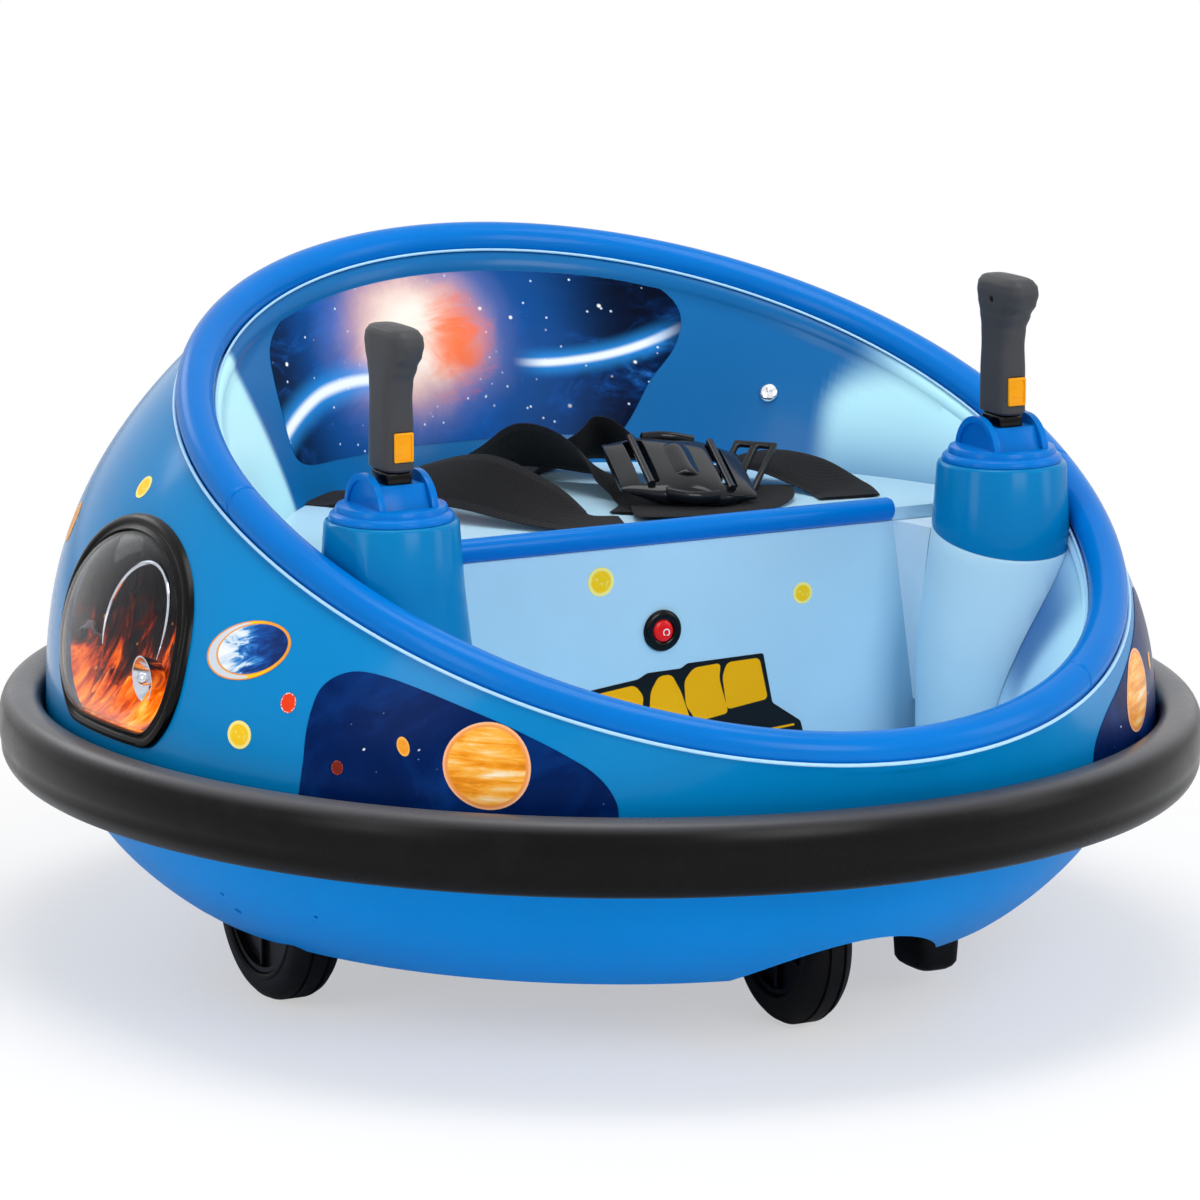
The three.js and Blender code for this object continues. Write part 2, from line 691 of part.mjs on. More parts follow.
/** A caster fork about its own swivel axis, with its kingpin. */
function casterFork() {
  let fork = solid(upright(casterCrownRadius, casterCrownRadius, crownBottom, crownTop));
  const kingpinTop = casterWellCeiling - 2 * gap;
  fork = fork.add(solid(upright(kingpinRadius, kingpinRadius, crownTop - 1, kingpinTop, 12)));
  for (const side of [1, -1]) {
    const arm = new THREE.Shape();
    arm.moveTo(-casterArmEnd, crownTop - 1);
    arm.lineTo(casterTrail - casterArmEnd, casterRadius);
    arm.absarc(casterTrail, casterRadius, casterArmEnd, Math.PI, turn, false);
    arm.lineTo(casterTrail + 1, crownTop - 1);
    const plate = sidePlate(arm, casterArmThick);
    fork = fork.add(solid(plate.translate(0, side * (armInner + casterArmThick / 2), 0)));
  }
  const bore = crossBar(casterAxleRadius + gap, -wide, wide).translate(casterTrail, 0, casterRadius);
  return fork.subtract(solid(bore));
}

// ---------------------------------------------------------------- harness

/** A flat strap through a list of centre points, its width level and across its run. */
function strap(points) {
  const run = new THREE.CatmullRomCurve3(points);
  const steps = 8;
  return sweep(Array.from({ length: steps + 1 }, (_, i) => {
    const centre = run.getPoint(i / steps);
    const along = run.getTangent(i / steps);
    const across = v3(-along.y, along.x, 0).normalize().multiplyScalar(strapWidth / 2);
    const up = v3(0, 0, strapThick / 2);
    return [
      centre.clone().add(across).add(up), centre.clone().sub(across).add(up),
      centre.clone().sub(across).sub(up), centre.clone().add(across).sub(up),
    ];
  }), false);
}

// ---------------------------------------------------------------- assembly

const bumperCar = new THREE.Group();

/** Adds a named piece to a group. */
function add(group, name, shape, material, position = [0, 0, 0]) {
  const mesh = new THREE.Mesh(shape.isBufferGeometry ? shape : geometryOf(shape), material);
  mesh.name = name;
  mesh.position.set(...position);
  group.add(mesh);
  return mesh;
}

add(bumperCar, 'lower_hull', lowerHull, blueHull());
add(bumperCar, 'upper_shell', upperShell, blueShell());
add(bumperCar, 'bumper_ring', sweep(ringSections, true), blackRubber());
add(bumperCar, 'cockpit_tub', cockpitTub, blueShell());
add(bumperCar, 'seat_pan', seatPan, paleBlue());
add(bumperCar, 'seat_apron', seatApron, paleBlue());
add(bumperCar, 'seat_edge_roll', crossBar(seatRollRadius, -seatRollHalfLength, seatRollHalfLength, 16),
  deepBlue(), [rollX, 0, rollHeight]);

// the rim's trim comes in three lengths that meet at the seams
const trimSides = 10;
const station = 360 / bodySteps;

/** The trim tube's section at a body station. */
function trimSection(degrees) {
  const angle = THREE.MathUtils.degToRad(degrees);
  return Array.from({ length: trimSides }, (_, j) => {
    const around = (j / trimSides) * turn;
    return rimPoint(angle, rimTubeRadius * Math.cos(around), rimTubeRadius * Math.sin(around));
  });
}

/** The trim tube's section anywhere, on the straight run between its two nearest stations. */
function trimSectionBetween(degrees) {
  const before = Math.floor(degrees / station) * station;
  const after = trimSection(before + station);
  return trimSection(before).map((point, j) => point.lerp(after[j], (degrees - before) / station));
}

const trimNames = ['rim_trim_front', 'rim_trim_left', 'rim_trim_rear'];
trimNames.forEach((name, i) => {
  const from = rimSeams[i];
  const to = i < 2 ? rimSeams[i + 1] : rimSeams[0] + 360;
  const half = THREE.MathUtils.radToDeg(gap / 2 / rimHalfWidth);
  const between = Array.from({ length: 2 * bodySteps }, (_, k) => (k - bodySteps / 2) * station)
    .filter((degrees) => degrees > from + 1 && degrees < to - 1);
  const loops = [trimSectionBetween(from + half), ...between.map(trimSection), trimSectionBetween(to - half)];
  add(bumperCar, name, sweep(loops, false), deepBlue());
});

for (const [label, side] of [['left', 1], ['right', -1]]) {
  const { cap, pedestal } = podParts(side);
  add(bumperCar, `console_pod_${label}`, cap, blueShell());
  add(bumperCar, `pod_pedestal_${label}`, pedestal, paleBlue());
  add(bumperCar, `stick_base_${label}`, stickBase(), deepBlue(), [stickX, side * stickY, 0]);

  const joystick = new THREE.Group();
  joystick.position.set(stickX, side * stickY, stickAxisHeight);
  const neck = block(
    [-neckLength / 2, -neckWidth / 2, drumRise + gap],
    [neckLength / 2, neckWidth / 2, drumRise + gap + neckRise],
  );
  add(joystick, `stick_drum_${label}`, stickDrum(), deepBlue());
  add(joystick, `stick_neck_${label}`, neck, blackPlastic());
  add(joystick, `stick_handle_${label}`, stickHandle(), greyGrip());
  add(joystick, `stick_button_${label}`, block(
    [handleDepth / 2 + gap, -buttonWidth / 2, handleFoot + buttonRise],
    [handleDepth / 2 + buttonProud, buttonWidth / 2, handleFoot + buttonRise + buttonTall],
  ), amber());
  bumperCar.add(joystick);

  add(bumperCar, `headlamp_housing_${label}`, lampHousing(side), blackPlastic());
  add(bumperCar, `headlamp_bezel_${label}`, lampBezel(side), blackPlastic());
  add(bumperCar, `headlamp_lens_${label}`, lampLens(side), finish(0xdfe6ea, 0.05));

  const gearboxIn = driveY - driveTyreWidth / 2 - wheelClearance - gearboxSize.y;
  const gearboxEdges = [side * gearboxIn, side * (gearboxIn + gearboxSize.y)].sort((a, b) => a - b);
  add(bumperCar, `drive_gearbox_${label}`, block(
    [driveX - gearboxSize.x / 2, gearboxEdges[0], hullFloorHeight + wall + gap],
    [driveX + gearboxSize.x / 2, gearboxEdges[1], hullFloorHeight + wall + gap + gearboxSize.z],
  ), blackPlastic());

  const wheel = new THREE.Group();
  wheel.position.set(driveX, side * driveY, driveRadius);
  const axleIn = driveY - gearboxIn - gearboxSize.y - gap;
  const axleSpan = [side * -axleIn, side * (driveTyreWidth / 2 - 2)].sort((a, b) => a - b);
  add(wheel, `drive_tyre_${label}`,
    tyre(driveRadius, driveTyreWidth, driveRimRadius), blackRubber());
  add(wheel, `drive_hub_${label}`,
    hub(driveRimRadius - gap, driveTyreWidth - 2, driveAxleRadius + gap), blackPlastic());
  add(wheel, `drive_axle_${label}`, crossBar(driveAxleRadius, ...axleSpan), steel());
  bumperCar.add(wheel);
}

for (const [label, end] of [['front', 1], ['rear', -1]]) {
  const caster = new THREE.Group();
  caster.position.set(end * casterPivotX, end * casterPivotY, 0);
  const mount = solid(upright(casterMountRadius, casterMountRadius, crownTop + gap, casterWellCeiling - gap));
  const boreRadius = kingpinRadius + gap;
  const bore = upright(boreRadius, boreRadius, crownTop - wall, casterWellCeiling + wall, 12);
  add(caster, `caster_mount_${label}`, mount.subtract(solid(bore)), blackPlastic());
  add(caster, `caster_fork_${label}`, casterFork(), blackPlastic());
  const axleHalf = armInner + casterArmThick;
  add(caster, `caster_axle_${label}`, crossBar(casterAxleRadius, -axleHalf, axleHalf), steel(),
    [casterTrail, 0, casterRadius]);
  add(caster, `caster_tyre_${label}`, tyre(casterRadius, casterTyreWidth, casterRimRadius), blackRubber(),
    [casterTrail, 0, casterRadius]);
  add(caster, `caster_hub_${label}`,
    hub(casterRimRadius - gap, casterTyreWidth - 2, casterAxleRadius + gap), blackPlastic(),
    [casterTrail, 0, casterRadius]);
  bumperCar.add(caster);
}

const switchHole = rockerRadius + gap;
const switchRing = new THREE.LatheGeometry([
  [switchHole, gap], [switchRadius, gap], [switchRadius, switchProud / 2],
  [switchRadius - 2.5, switchProud], [switchHole, 0.8 * switchProud], [switchHole, gap],
].map(([r, out]) => new THREE.Vector2(r, out)), roundSteps).rotateZ(-Math.PI / 2);
add(bumperCar, 'power_switch_bezel', switchRing, blackPlastic(), [seatFrontX, 0, switchHeight]);
const rockerThick = switchProud - 0.2;
const rocker = new THREE.CylinderGeometry(rockerRadius, rockerRadius, rockerThick, roundSteps);
rocker.rotateZ(Math.PI / 2).translate(rockerThick / 2 + gap, 0, 0);
add(bumperCar, 'power_switch_rocker', rocker, finish(0xd01818, 0.3), [seatFrontX, 0, switchHeight]);

add(bumperCar, 'battery', block(
  [batteryX - batteryLength / 2, -batteryWidth / 2, tubFloorHeight + gap],
  [batteryX + batteryLength / 2, batteryWidth / 2, tubFloorHeight + gap + batteryHeight],
), blackPlastic());
add(bumperCar, 'skid_foot', block(
  [footX - footSize.x / 2, footY - footSize.y / 2, hullFloorHeight - gap - footSize.z],
  [footX + footSize.x / 2, footY + footSize.y / 2, hullFloorHeight - gap],
), blackPlastic());

// the harness lies loose on the seat: two webbing lengths and the buckle beside them
const seatDepth = seatFrontX - rimCentreX + rimRearReach;
const strapRest = seatHeight + gap + strapThick / 2;

const strapReach = rimHalfWidth - strapWidth / 2;

/** A place on the seat: shares of its depth back from the front, and of the straps' reach to the left. */
const onSeat = (back, left) => v3(seatFrontX - back * seatDepth, left * strapReach, strapRest);

add(bumperCar, 'harness_strap_right', strap([
  onSeat(0.6, -0.48), onSeat(0.46, -0.42), onSeat(0.27, -0.33), onSeat(0.125, -0.215),
]), blackRubber());
add(bumperCar, 'harness_strap_left', strap([
  onSeat(0.66, 0.036), onSeat(0.535, 0.09), onSeat(0.38, 0.125), onSeat(0.17, 0.125),
]), blackRubber());
const buckleAt = onSeat(0.444, 0.388);
add(bumperCar, 'harness_buckle', block(
  [buckleAt.x - buckleSize.x / 2, buckleAt.y - buckleSize.y / 2, seatHeight + gap],
  [buckleAt.x + buckleSize.x / 2, buckleAt.y + buckleSize.y / 2, seatHeight + gap + buckleSize.z],
), blackPlastic());

export default bumperCar;
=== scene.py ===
import logging
import math
from dataclasses import dataclass
from enum import Enum
from math import cos, pi, radians, sin
from typing import Callable, Optional, Sequence

import bmesh
import bpy
from mathutils import Matrix, Vector


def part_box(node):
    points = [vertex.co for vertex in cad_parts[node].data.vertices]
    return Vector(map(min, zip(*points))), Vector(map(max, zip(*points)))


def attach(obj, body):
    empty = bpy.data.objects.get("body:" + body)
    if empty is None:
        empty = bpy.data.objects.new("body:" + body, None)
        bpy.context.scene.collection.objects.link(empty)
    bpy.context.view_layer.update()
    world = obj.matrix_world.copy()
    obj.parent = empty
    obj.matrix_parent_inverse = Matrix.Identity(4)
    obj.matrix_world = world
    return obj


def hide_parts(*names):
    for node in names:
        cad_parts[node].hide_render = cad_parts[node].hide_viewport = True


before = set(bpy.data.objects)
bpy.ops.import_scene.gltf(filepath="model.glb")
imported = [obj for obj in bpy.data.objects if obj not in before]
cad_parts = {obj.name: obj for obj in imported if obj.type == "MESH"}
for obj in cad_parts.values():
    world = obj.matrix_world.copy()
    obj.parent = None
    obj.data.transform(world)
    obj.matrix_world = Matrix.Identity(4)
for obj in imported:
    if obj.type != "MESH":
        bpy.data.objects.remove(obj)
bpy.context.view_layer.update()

# A child's electric ride-on bumper car. Sizes below are millimetres in the part's own frame:
# +X is the front, +Y the driver's left, +Z up, and the origin is on the ground under the ring.
LOG = logging.getLogger("bumper_car")
MM = 0.001
TURN = 2 * pi
BODY_STEPS = 192                 # stations round the body's ovals
NUDGE = 1e-3                     # the small step that finds a surface's slope
Point = tuple[float, float, float]
Outline = Sequence[tuple[float, float]]
Loop = list[Point]
Surface = Callable[..., Point]
Piece = bpy.types.Object
Material = bpy.types.Material


class Labelled(Enum):
    """A choice whose name is part of the piece names."""

    @property
    def label(self) -> str:
        """The name as the pieces write it."""
        return self.name.lower()


class Side(Labelled):
    """The car's two sides, as the sign of Y."""

    LEFT = 1
    RIGHT = -1


class End(Labelled):
    """The car's two ends, as the sign of X."""

    FRONT = 1
    REAR = -1


class Axis(Enum):
    """An axis to turn or push along, as the order in which across, across and along are read."""

    X = (2, 0, 1)
    Y = (0, 2, 1)
    Z = (0, 1, 2)

    def point(self, u: float, v: float, along: float, place: Point) -> Point:
        """The point at two places across the axis and a station along it, from a place."""
        local = (u, v, along)
        return tuple(local[k] + p for k, p in zip(self.value, place))


def node_box(name: str) -> tuple[Vector, Vector]:
    """The lowest and highest corner of a CAD node in millimetres."""
    low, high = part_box(name)
    return low / MM, high / MM


def mixed(a: Sequence[float], b: Sequence[float], share: float) -> Point:
    """The point that lies a share of the way from a to b."""
    return tuple(p + (q - p) * share for p, q in zip(a, b))


def smooth_step(low: float, high: float, value: float) -> float:
    """0 below low, 1 above high, and an even curve between them."""
    share = min(1.0, max(0.0, (value - low) / (high - low)))
    return share * share * (3 - 2 * share)


def signed_power(value: float, exponent: float) -> float:
    """A power that keeps the value's sign."""
    return math.copysign(abs(value) ** exponent, value)


def between(p: Sequence[Vector], share: float) -> Vector:
    """A share of the way from the second to the third of four points, on a smooth curve."""
    return 0.5 * (2 * p[1] + (p[2] - p[0]) * share
                  + (2 * p[0] - 5 * p[1] + 4 * p[2] - p[3]) * share * share
                  + (3 * p[1] - p[0] - 3 * p[2] + p[3]) * share ** 3)


def spread(count: int, low: float = 0.0, high: float = 1.0) -> list[float]:
    """Evenly spaced values from low to high, both included."""
    return [low + (high - low) * k / (count - 1) for k in range(count)]


@dataclass(frozen=True)
class Layout:
    """The surfaces that the pieces share: the ring's oval, the reclined rim, the flank and the tub."""

    ring_half_length: float
    ring_half_width: float
    ring_height: float
    ring_tall: float
    ring_thick: float = 26.2
    rim_x: float = 51.9
    rim_front: float = 283.7
    rim_rear: float = 250.6
    rim_half_width: float = 243.0
    rim_rise: float = 152.5          # of its middle above the ring
    rim_slope: float = 0.3659
    tube: float = 10.5
    gap: float = 0.3
    wall: float = 3.0
    flank_bulge: float = 2.88
    tub_flare: float = 2.0
    tub_x: float = 70.0
    tub_front: float = 215.0
    tub_rear: float = 200.0
    tub_half_width: float = 175.0
    tub_floor: float = 119.3
    seat_top: float = 249.0
    seat_front: float = 74.0
    pod_x: float = 121.0
    pod_y: float = 188.3
    pod_top: float = 280.0
    stick_well: tuple[float, float] = (21.5, 13.5)       # its half length and half width
    drive_x: float = 19.0
    drive_y: float = 206.5
    caster_y: float = 12.0

    @classmethod
    def from_frame(cls) -> "Layout":
        """Reads the ring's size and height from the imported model."""
        low, high = node_box("bumper_ring")
        return cls(
            ring_half_length=(high.x - low.x) / 2, ring_half_width=(high.y - low.y) / 2,
            ring_height=(high.z + low.z) / 2, ring_tall=high.z - low.z, )

    @property
    def base_half_length(self) -> float:
        """Half the length of the oval where the shell and the hull meet."""
        return self.ring_half_length - self.ring_thick - self.gap

    @property
    def base_half_width(self) -> float:
        """Half the width of that oval."""
        return self.ring_half_width - self.ring_thick - self.gap

    @property
    def edge(self) -> tuple[float, float]:
        """How far the shell's edge sits out and down from the trim tube's centre."""
        distance = self.tube + 2 * self.gap
        return distance * cos(pi / 6), distance * sin(pi / 6)

    @property
    def inner_edge(self) -> tuple[float, float]:
        """How far the hidden skins' edges sit out and down from the trim tube's centre."""
        distance = self.tube + 2 * self.gap
        return distance * 0.6, distance * 0.8

    def two_part_oval(self, angle: float, centre: float, front: float, rear: float,
                      half_width: float, outward: float) -> tuple[float, float]:
        """A point of an oval with its own reach to the front and the rear.

        Args:
            angle: Turn from the front towards the left, in radians.
            centre: Where the two half ovals join, along X.
            front: Reach of the front half.
            rear: Reach of the rear half.
            half_width: Half the oval's width.
            outward: How far to move along the plan normal.

        Returns:
            The point's X and Y.
        """
        reach = front if cos(angle) >= 0 else rear
        nx, ny = cos(angle) / reach, sin(angle) / half_width
        size = math.hypot(nx, ny)
        return (centre + reach * cos(angle) + nx / size * outward,
                half_width * sin(angle) + ny / size * outward)

    def rim_point(self, angle: float, outward: float = 0.0, up: float = 0.0) -> Point:
        """A point on the rim's centre line, moved outward and up."""
        oval = (self.rim_x, self.rim_front, self.rim_rear, self.rim_half_width)
        centre = self.two_part_oval(angle, *oval, 0.0)
        x, y = self.two_part_oval(angle, *oval, outward)
        middle = self.ring_height + self.rim_rise
        return x, y, middle - self.rim_slope * (centre[0] - self.rim_x) + up

    def base_point(self, angle: float, inset: float, height: float) -> Point:
        """A point of the parting oval, moved in, at a height."""
        return ((self.base_half_length - inset) * cos(angle),
                (self.base_half_width - inset) * sin(angle), height)

    def flank_point(self, angle: float, up: float, out: float = 0.0) -> Point:
        """A point on the flank: up is 0 at the parting line and 1 at the rim; out stands it off in plan."""
        top = self.rim_point(angle, self.edge[0], -self.edge[1])
        base = self.base_point(angle, 0.0, self.ring_height + self.gap / 2)
        lean = max(0.0, up) ** self.flank_bulge
        x = base[0] + (top[0] - base[0]) * lean
        y = base[1] + (top[1] - base[1]) * lean
        normal = Vector((cos(angle) / self.base_half_length,
                         sin(angle) / self.base_half_width)).normalized()
        return x + normal.x * out, y + normal.y * out, base[2] + (top[2] - base[2]) * up

    def tub_point(self, angle: float, up: float, inward: float = 0.0) -> Point:
        """A point on the tub's inside: up is 0 at the floor and 1 at the rim; inward stands it off."""
        foot = self.two_part_oval(angle, self.tub_x, self.tub_front, self.tub_rear,
                                  self.tub_half_width, -inward)
        top = self.rim_point(angle, -self.edge[0] - inward, -self.edge[1])
        lean = max(0.0, up) ** self.tub_flare
        return (foot[0] + (top[0] - foot[0]) * lean, foot[1] + (top[1] - foot[1]) * lean,
                self.tub_floor + (top[2] - self.tub_floor) * up)

    @staticmethod
    def normal_of(surface: Surface, angle: float, up: float) -> Vector:
        """The outward unit normal of a surface of angle and up."""
        here = Vector(surface(angle, up))
        along = Vector(surface(angle + NUDGE, up)) - here
        rise = Vector(surface(angle, up + NUDGE)) - here
        return along.cross(rise).normalized()

    def flank_at(self, x: float, z: float, side: Side) -> tuple[float, float]:
        """The flank's angle and share up at a place seen from the side."""
        low = self.ring_height + self.gap / 2
        angle, up = pi / 2, 0.5
        for _ in range(40):
            top = self.rim_point(angle, self.edge[0], -self.edge[1])[2]
            up = max(0.0, (z - low) / (top - low))
            angle += (self.flank_point(angle, up)[0] - x) / (2 * self.base_half_length)
        return (angle if side is Side.LEFT else -angle), up

    def tub_height(self, angle: float, height: float) -> float:
        """The share up the tub's wall at which it reaches a height."""
        top = self.rim_point(angle, 0.0, -self.edge[1])[2]
        return (height - self.tub_floor) / (top - self.tub_floor)


LAYOUT = Layout.from_frame()


def angles(count: int, start: float = 0.0, stop: float = TURN) -> list[float]:
    """Evenly spaced turns from start up to, and without, stop."""
    return [start + (stop - start) * k / count for k in range(count)]


def mesh_piece(name: str, points: Sequence[Point], faces: Sequence[Sequence[int]]) -> Piece:
    """A mesh object from points in millimetres, with its faces turned outwards.

    Args:
        name: The piece's name.
        points: Its points.
        faces: Its faces, as indices of those points.

    Returns:
        The object, linked to the scene.
    """
    mesh = bpy.data.meshes.new(name)
    mesh.from_pydata([tuple(c * MM for c in p) for p in points], [], [tuple(f) for f in faces])
    mesh.validate()
    piece = bpy.data.objects.new(name, mesh)
    bpy.context.scene.collection.objects.link(piece)
    with_bmesh(piece, lambda bm: bmesh.ops.recalc_face_normals(bm, faces=bm.faces))
    return piece


def with_bmesh(piece: Piece, change: Callable[[bmesh.types.BMesh], object]) -> None:
    """Changes a piece's mesh through bmesh."""
    bm = bmesh.new()
    bm.from_mesh(piece.data)
    change(bm)
    bm.to_mesh(piece.data)
    bm.free()


def loft(name: str, loops: Sequence[Loop], ring: bool = False, capped: bool = True,
         closed: bool = True) -> Piece:
    """A skin through loops of points.

    Args:
        name: The piece's name.
        loops: Loops with the same number of points.
        ring: Whether the last loop joins the first.
        capped: Whether the open ends get a face.
        closed: Whether each loop closes on itself.

    Returns:
        The object.
    """
    rows, columns = len(loops), len(loops[0])
    points = [p for loop in loops for p in loop]
    faces = []
    for i in range(rows if ring else rows - 1):
        a, b = i * columns, ((i + 1) % rows) * columns
        for j in range(columns if closed else columns - 1):
            k = (j + 1) % columns
            faces.append((a + j, b + j, b + k, a + k))
    if capped and not ring:
        faces.append(tuple(range(columns))[::-1])
        faces.append(tuple((rows - 1) * columns + j for j in range(columns)))
    return mesh_piece(name, points, faces)


def lathe(name: str, profile: Outline, steps: int = 64,
          place: Point = (0, 0, 0), axis: Axis = Axis.Z) -> Piece:
    """A profile of radius and station turned about an axis, as a closed body.

    Args:
        name: The piece's name.
        profile: Radius and station pairs, closed on themselves or ending on the axis.
        steps: How many stations go round.
        place: Where the axis' zero stands.
        axis: What it turns about.

    Returns:
        The object.
    """
    points, faces, rows = [], [], []
    for radius, station in profile:
        row = []
        for a in angles(steps if radius else 1):
            row.append(len(points))
            points.append(axis.point(radius * cos(a), radius * sin(a), station, place))
        rows.append(row)
    if profile[0] == profile[-1]:
        rows[-1] = rows[0]
    elif profile[0][0] and profile[-1][0]:
        rows.append(rows[0])
    for low, high in zip(rows, rows[1:]):
        for j in range(steps):
            k = (j + 1) % steps
            corners = [low[j % len(low)], low[k % len(low)], high[k % len(high)], high[j % len(high)]]
            corners = list(dict.fromkeys(corners))
            if len(corners) > 2:
                faces.append(corners)
    piece = mesh_piece(name, points, faces)
    with_bmesh(piece, lambda bm: bmesh.ops.delete(
        bm, geom=[v for v in bm.verts if not v.link_faces], context="VERTS"))
    return piece


def rod(name: str, radius: float, low: float, high: float, steps: int = 32,
        place: Point = (0, 0, 0), axis: Axis = Axis.Z) -> Piece:
    """A plain round bar along an axis."""
    return lathe(name, [(0, low), (radius, low), (radius, high), (0, high)], steps, place, axis)


def outline_prism(name: str, outline: Outline, low: float, high: float, axis: Axis = Axis.Z,
                  place: Point = (0, 0, 0)) -> Piece:
    """A flat outline pushed along an axis, as a closed body."""
    return loft(name, [[axis.point(u, v, w, place) for u, v in outline] for w in (low, high)])


def rectangle(low_u: float, low_v: float, high_u: float, high_v: float) -> Outline:
    """The outline of a rectangle between two corners."""
    return [(low_u, low_v), (high_u, low_v), (high_u, high_v), (low_u, high_v)]


def rounded_box(name: str, low: Point, high: Point, radius: float = 1.0, segments: int = 3,
                place: Point = (0, 0, 0)) -> Piece:
    """A box between two corners, measured from a place, with its edges rounded over."""
    piece = outline_prism(name, rectangle(*low[:2], *high[:2]), low[2], high[2], place=place)
    return softened(piece, radius, segments)


def modifier(piece: Piece, kind: str, **settings: object) -> None:
    """Adds one modifier and applies it to the mesh.

    Args:
        piece: The piece to change.
        kind: The modifier's type.
        **settings: Its properties.
    """
    made = piece.modifiers.new(kind.title(), kind)
    for key, value in settings.items():
        setattr(made, key, value)
    graph = bpy.context.evaluated_depsgraph_get()
    graph.update()
    shaped = bpy.data.meshes.new_from_object(piece.evaluated_get(graph))
    piece.modifiers.clear()
    old = piece.data
    piece.data = shaped
    bpy.data.meshes.remove(old)


def softened(piece: Piece, radius: float, segments: int = 3, degrees: float = 30.0) -> Piece:
    """Rounds the edges that are sharper than an angle."""
    modifier(piece, "BEVEL", width=radius * MM, segments=segments, limit_method="ANGLE",
             angle_limit=radians(degrees), use_clamp_overlap=True, miter_outer="MITER_ARC")
    return piece


def cut(piece: Piece, tool: Piece, how: str = "DIFFERENCE") -> Piece:
    """Takes a tool out of a piece, or joins or keeps what they share, and removes the tool."""
    modifier(piece, "BOOLEAN", object=tool, operation=how, solver="EXACT")
    mesh = tool.data
    bpy.data.objects.remove(tool)
    bpy.data.meshes.remove(mesh)
    return piece


def joined(name: str, parts: Sequence[Piece]) -> Piece:
    """Several pieces as one, in one mesh."""
    bm = bmesh.new()
    for part in parts:
        bm.from_mesh(part.data)
    mesh = bpy.data.meshes.new(name)
    bm.to_mesh(mesh)
    bm.free()
    for part in parts:
        bpy.data.objects.remove(part)
    piece = bpy.data.objects.new(name, mesh)
    bpy.context.scene.collection.objects.link(piece)
    return piece


def spin(piece: Piece, matrix: Matrix) -> Piece:
    """Moves a piece's mesh by a matrix in metres."""
    piece.data.transform(matrix)
    return piece


class Shop:
    """Dresses finished pieces: shading, material, body and stand-ins."""

    @staticmethod
    def deliver(piece: Piece, finish: Material, body: str, slot: str,
                replaces: Sequence[str] = (), smooth: float = 35.0) -> None:
        """Finishes one piece and hangs it on its body.

        Args:
            piece: The piece, with its mesh final.
            finish: Its material.
            body: The CAD body that it rides on.
            slot: A material slot's name; not used.
            replaces: CAD nodes that it stands for.
            smooth: Edges sharper than this many degrees stay sharp.
        """
        piece.data.materials.clear()
        piece.data.materials.append(finish)
        piece.data.shade_smooth()
        piece.data.set_sharp_from_angle(angle=radians(smooth))
        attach(piece, body)
        if replaces:
            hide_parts(*replaces)
        LOG.info("%s: %d faces on %s", piece.name, len(piece.data.polygons), body)

    @staticmethod
    def refinish(node: str, finish: Material) -> None:
        """Gives a CAD node that keeps its shape a new material."""
        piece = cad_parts[node]
        for place in piece.material_slots:
            place.material = finish
        LOG.info("%s refinished", node)


Operand = "Term | float"


class Term:
    """A socket's value in a sum; its operators add Math nodes."""

    def __init__(self, recipe: "Recipe", socket: bpy.types.NodeSocket) -> None:
        """Keeps the recipe and the socket."""
        self.recipe = recipe
        self.socket = socket

    def math(self, operation: str, *values: Operand, clamp: bool = False) -> "Term":
        """Adds one Math node on some values."""
        return self.recipe.node("ShaderNodeMath", {"operation": operation, "use_clamp": clamp},
                                dict(enumerate(values)))

    def __add__(self, other: Operand) -> "Term":
        """This plus other."""
        return self.math("ADD", self, other)

    def __radd__(self, other: Operand) -> "Term":
        """Other plus this."""
        return self.math("ADD", other, self)

    def __sub__(self, other: Operand) -> "Term":
        """This less other."""
        return self.math("SUBTRACT", self, other)

    def __rsub__(self, other: Operand) -> "Term":
        """Other less this."""
        return self.math("SUBTRACT", other, self)

    def __mul__(self, other: Operand) -> "Term":
        """This times other."""
        return self.math("MULTIPLY", self, other)

    def __rmul__(self, other: Operand) -> "Term":
        """Other times this."""
        return self.math("MULTIPLY", other, self)

    def __pow__(self, other: Operand) -> "Term":
        """This to the power of other."""
        return self.math("POWER", self, other)

    def step(self, low: float, high: float) -> "Term":
        """0 below low and 1 above high, or the reverse where low is the greater."""
        return self.recipe.node("ShaderNodeMapRange", {"interpolation_type": "SMOOTHSTEP"},
                                {"Value": self, "From Min": low, "From Max": high})


class Owner(Enum):
    """What a node tree belongs to, as the name of its output node."""

    MATERIAL = "ShaderNodeOutputMaterial"
    WORLD = "ShaderNodeOutputWorld"


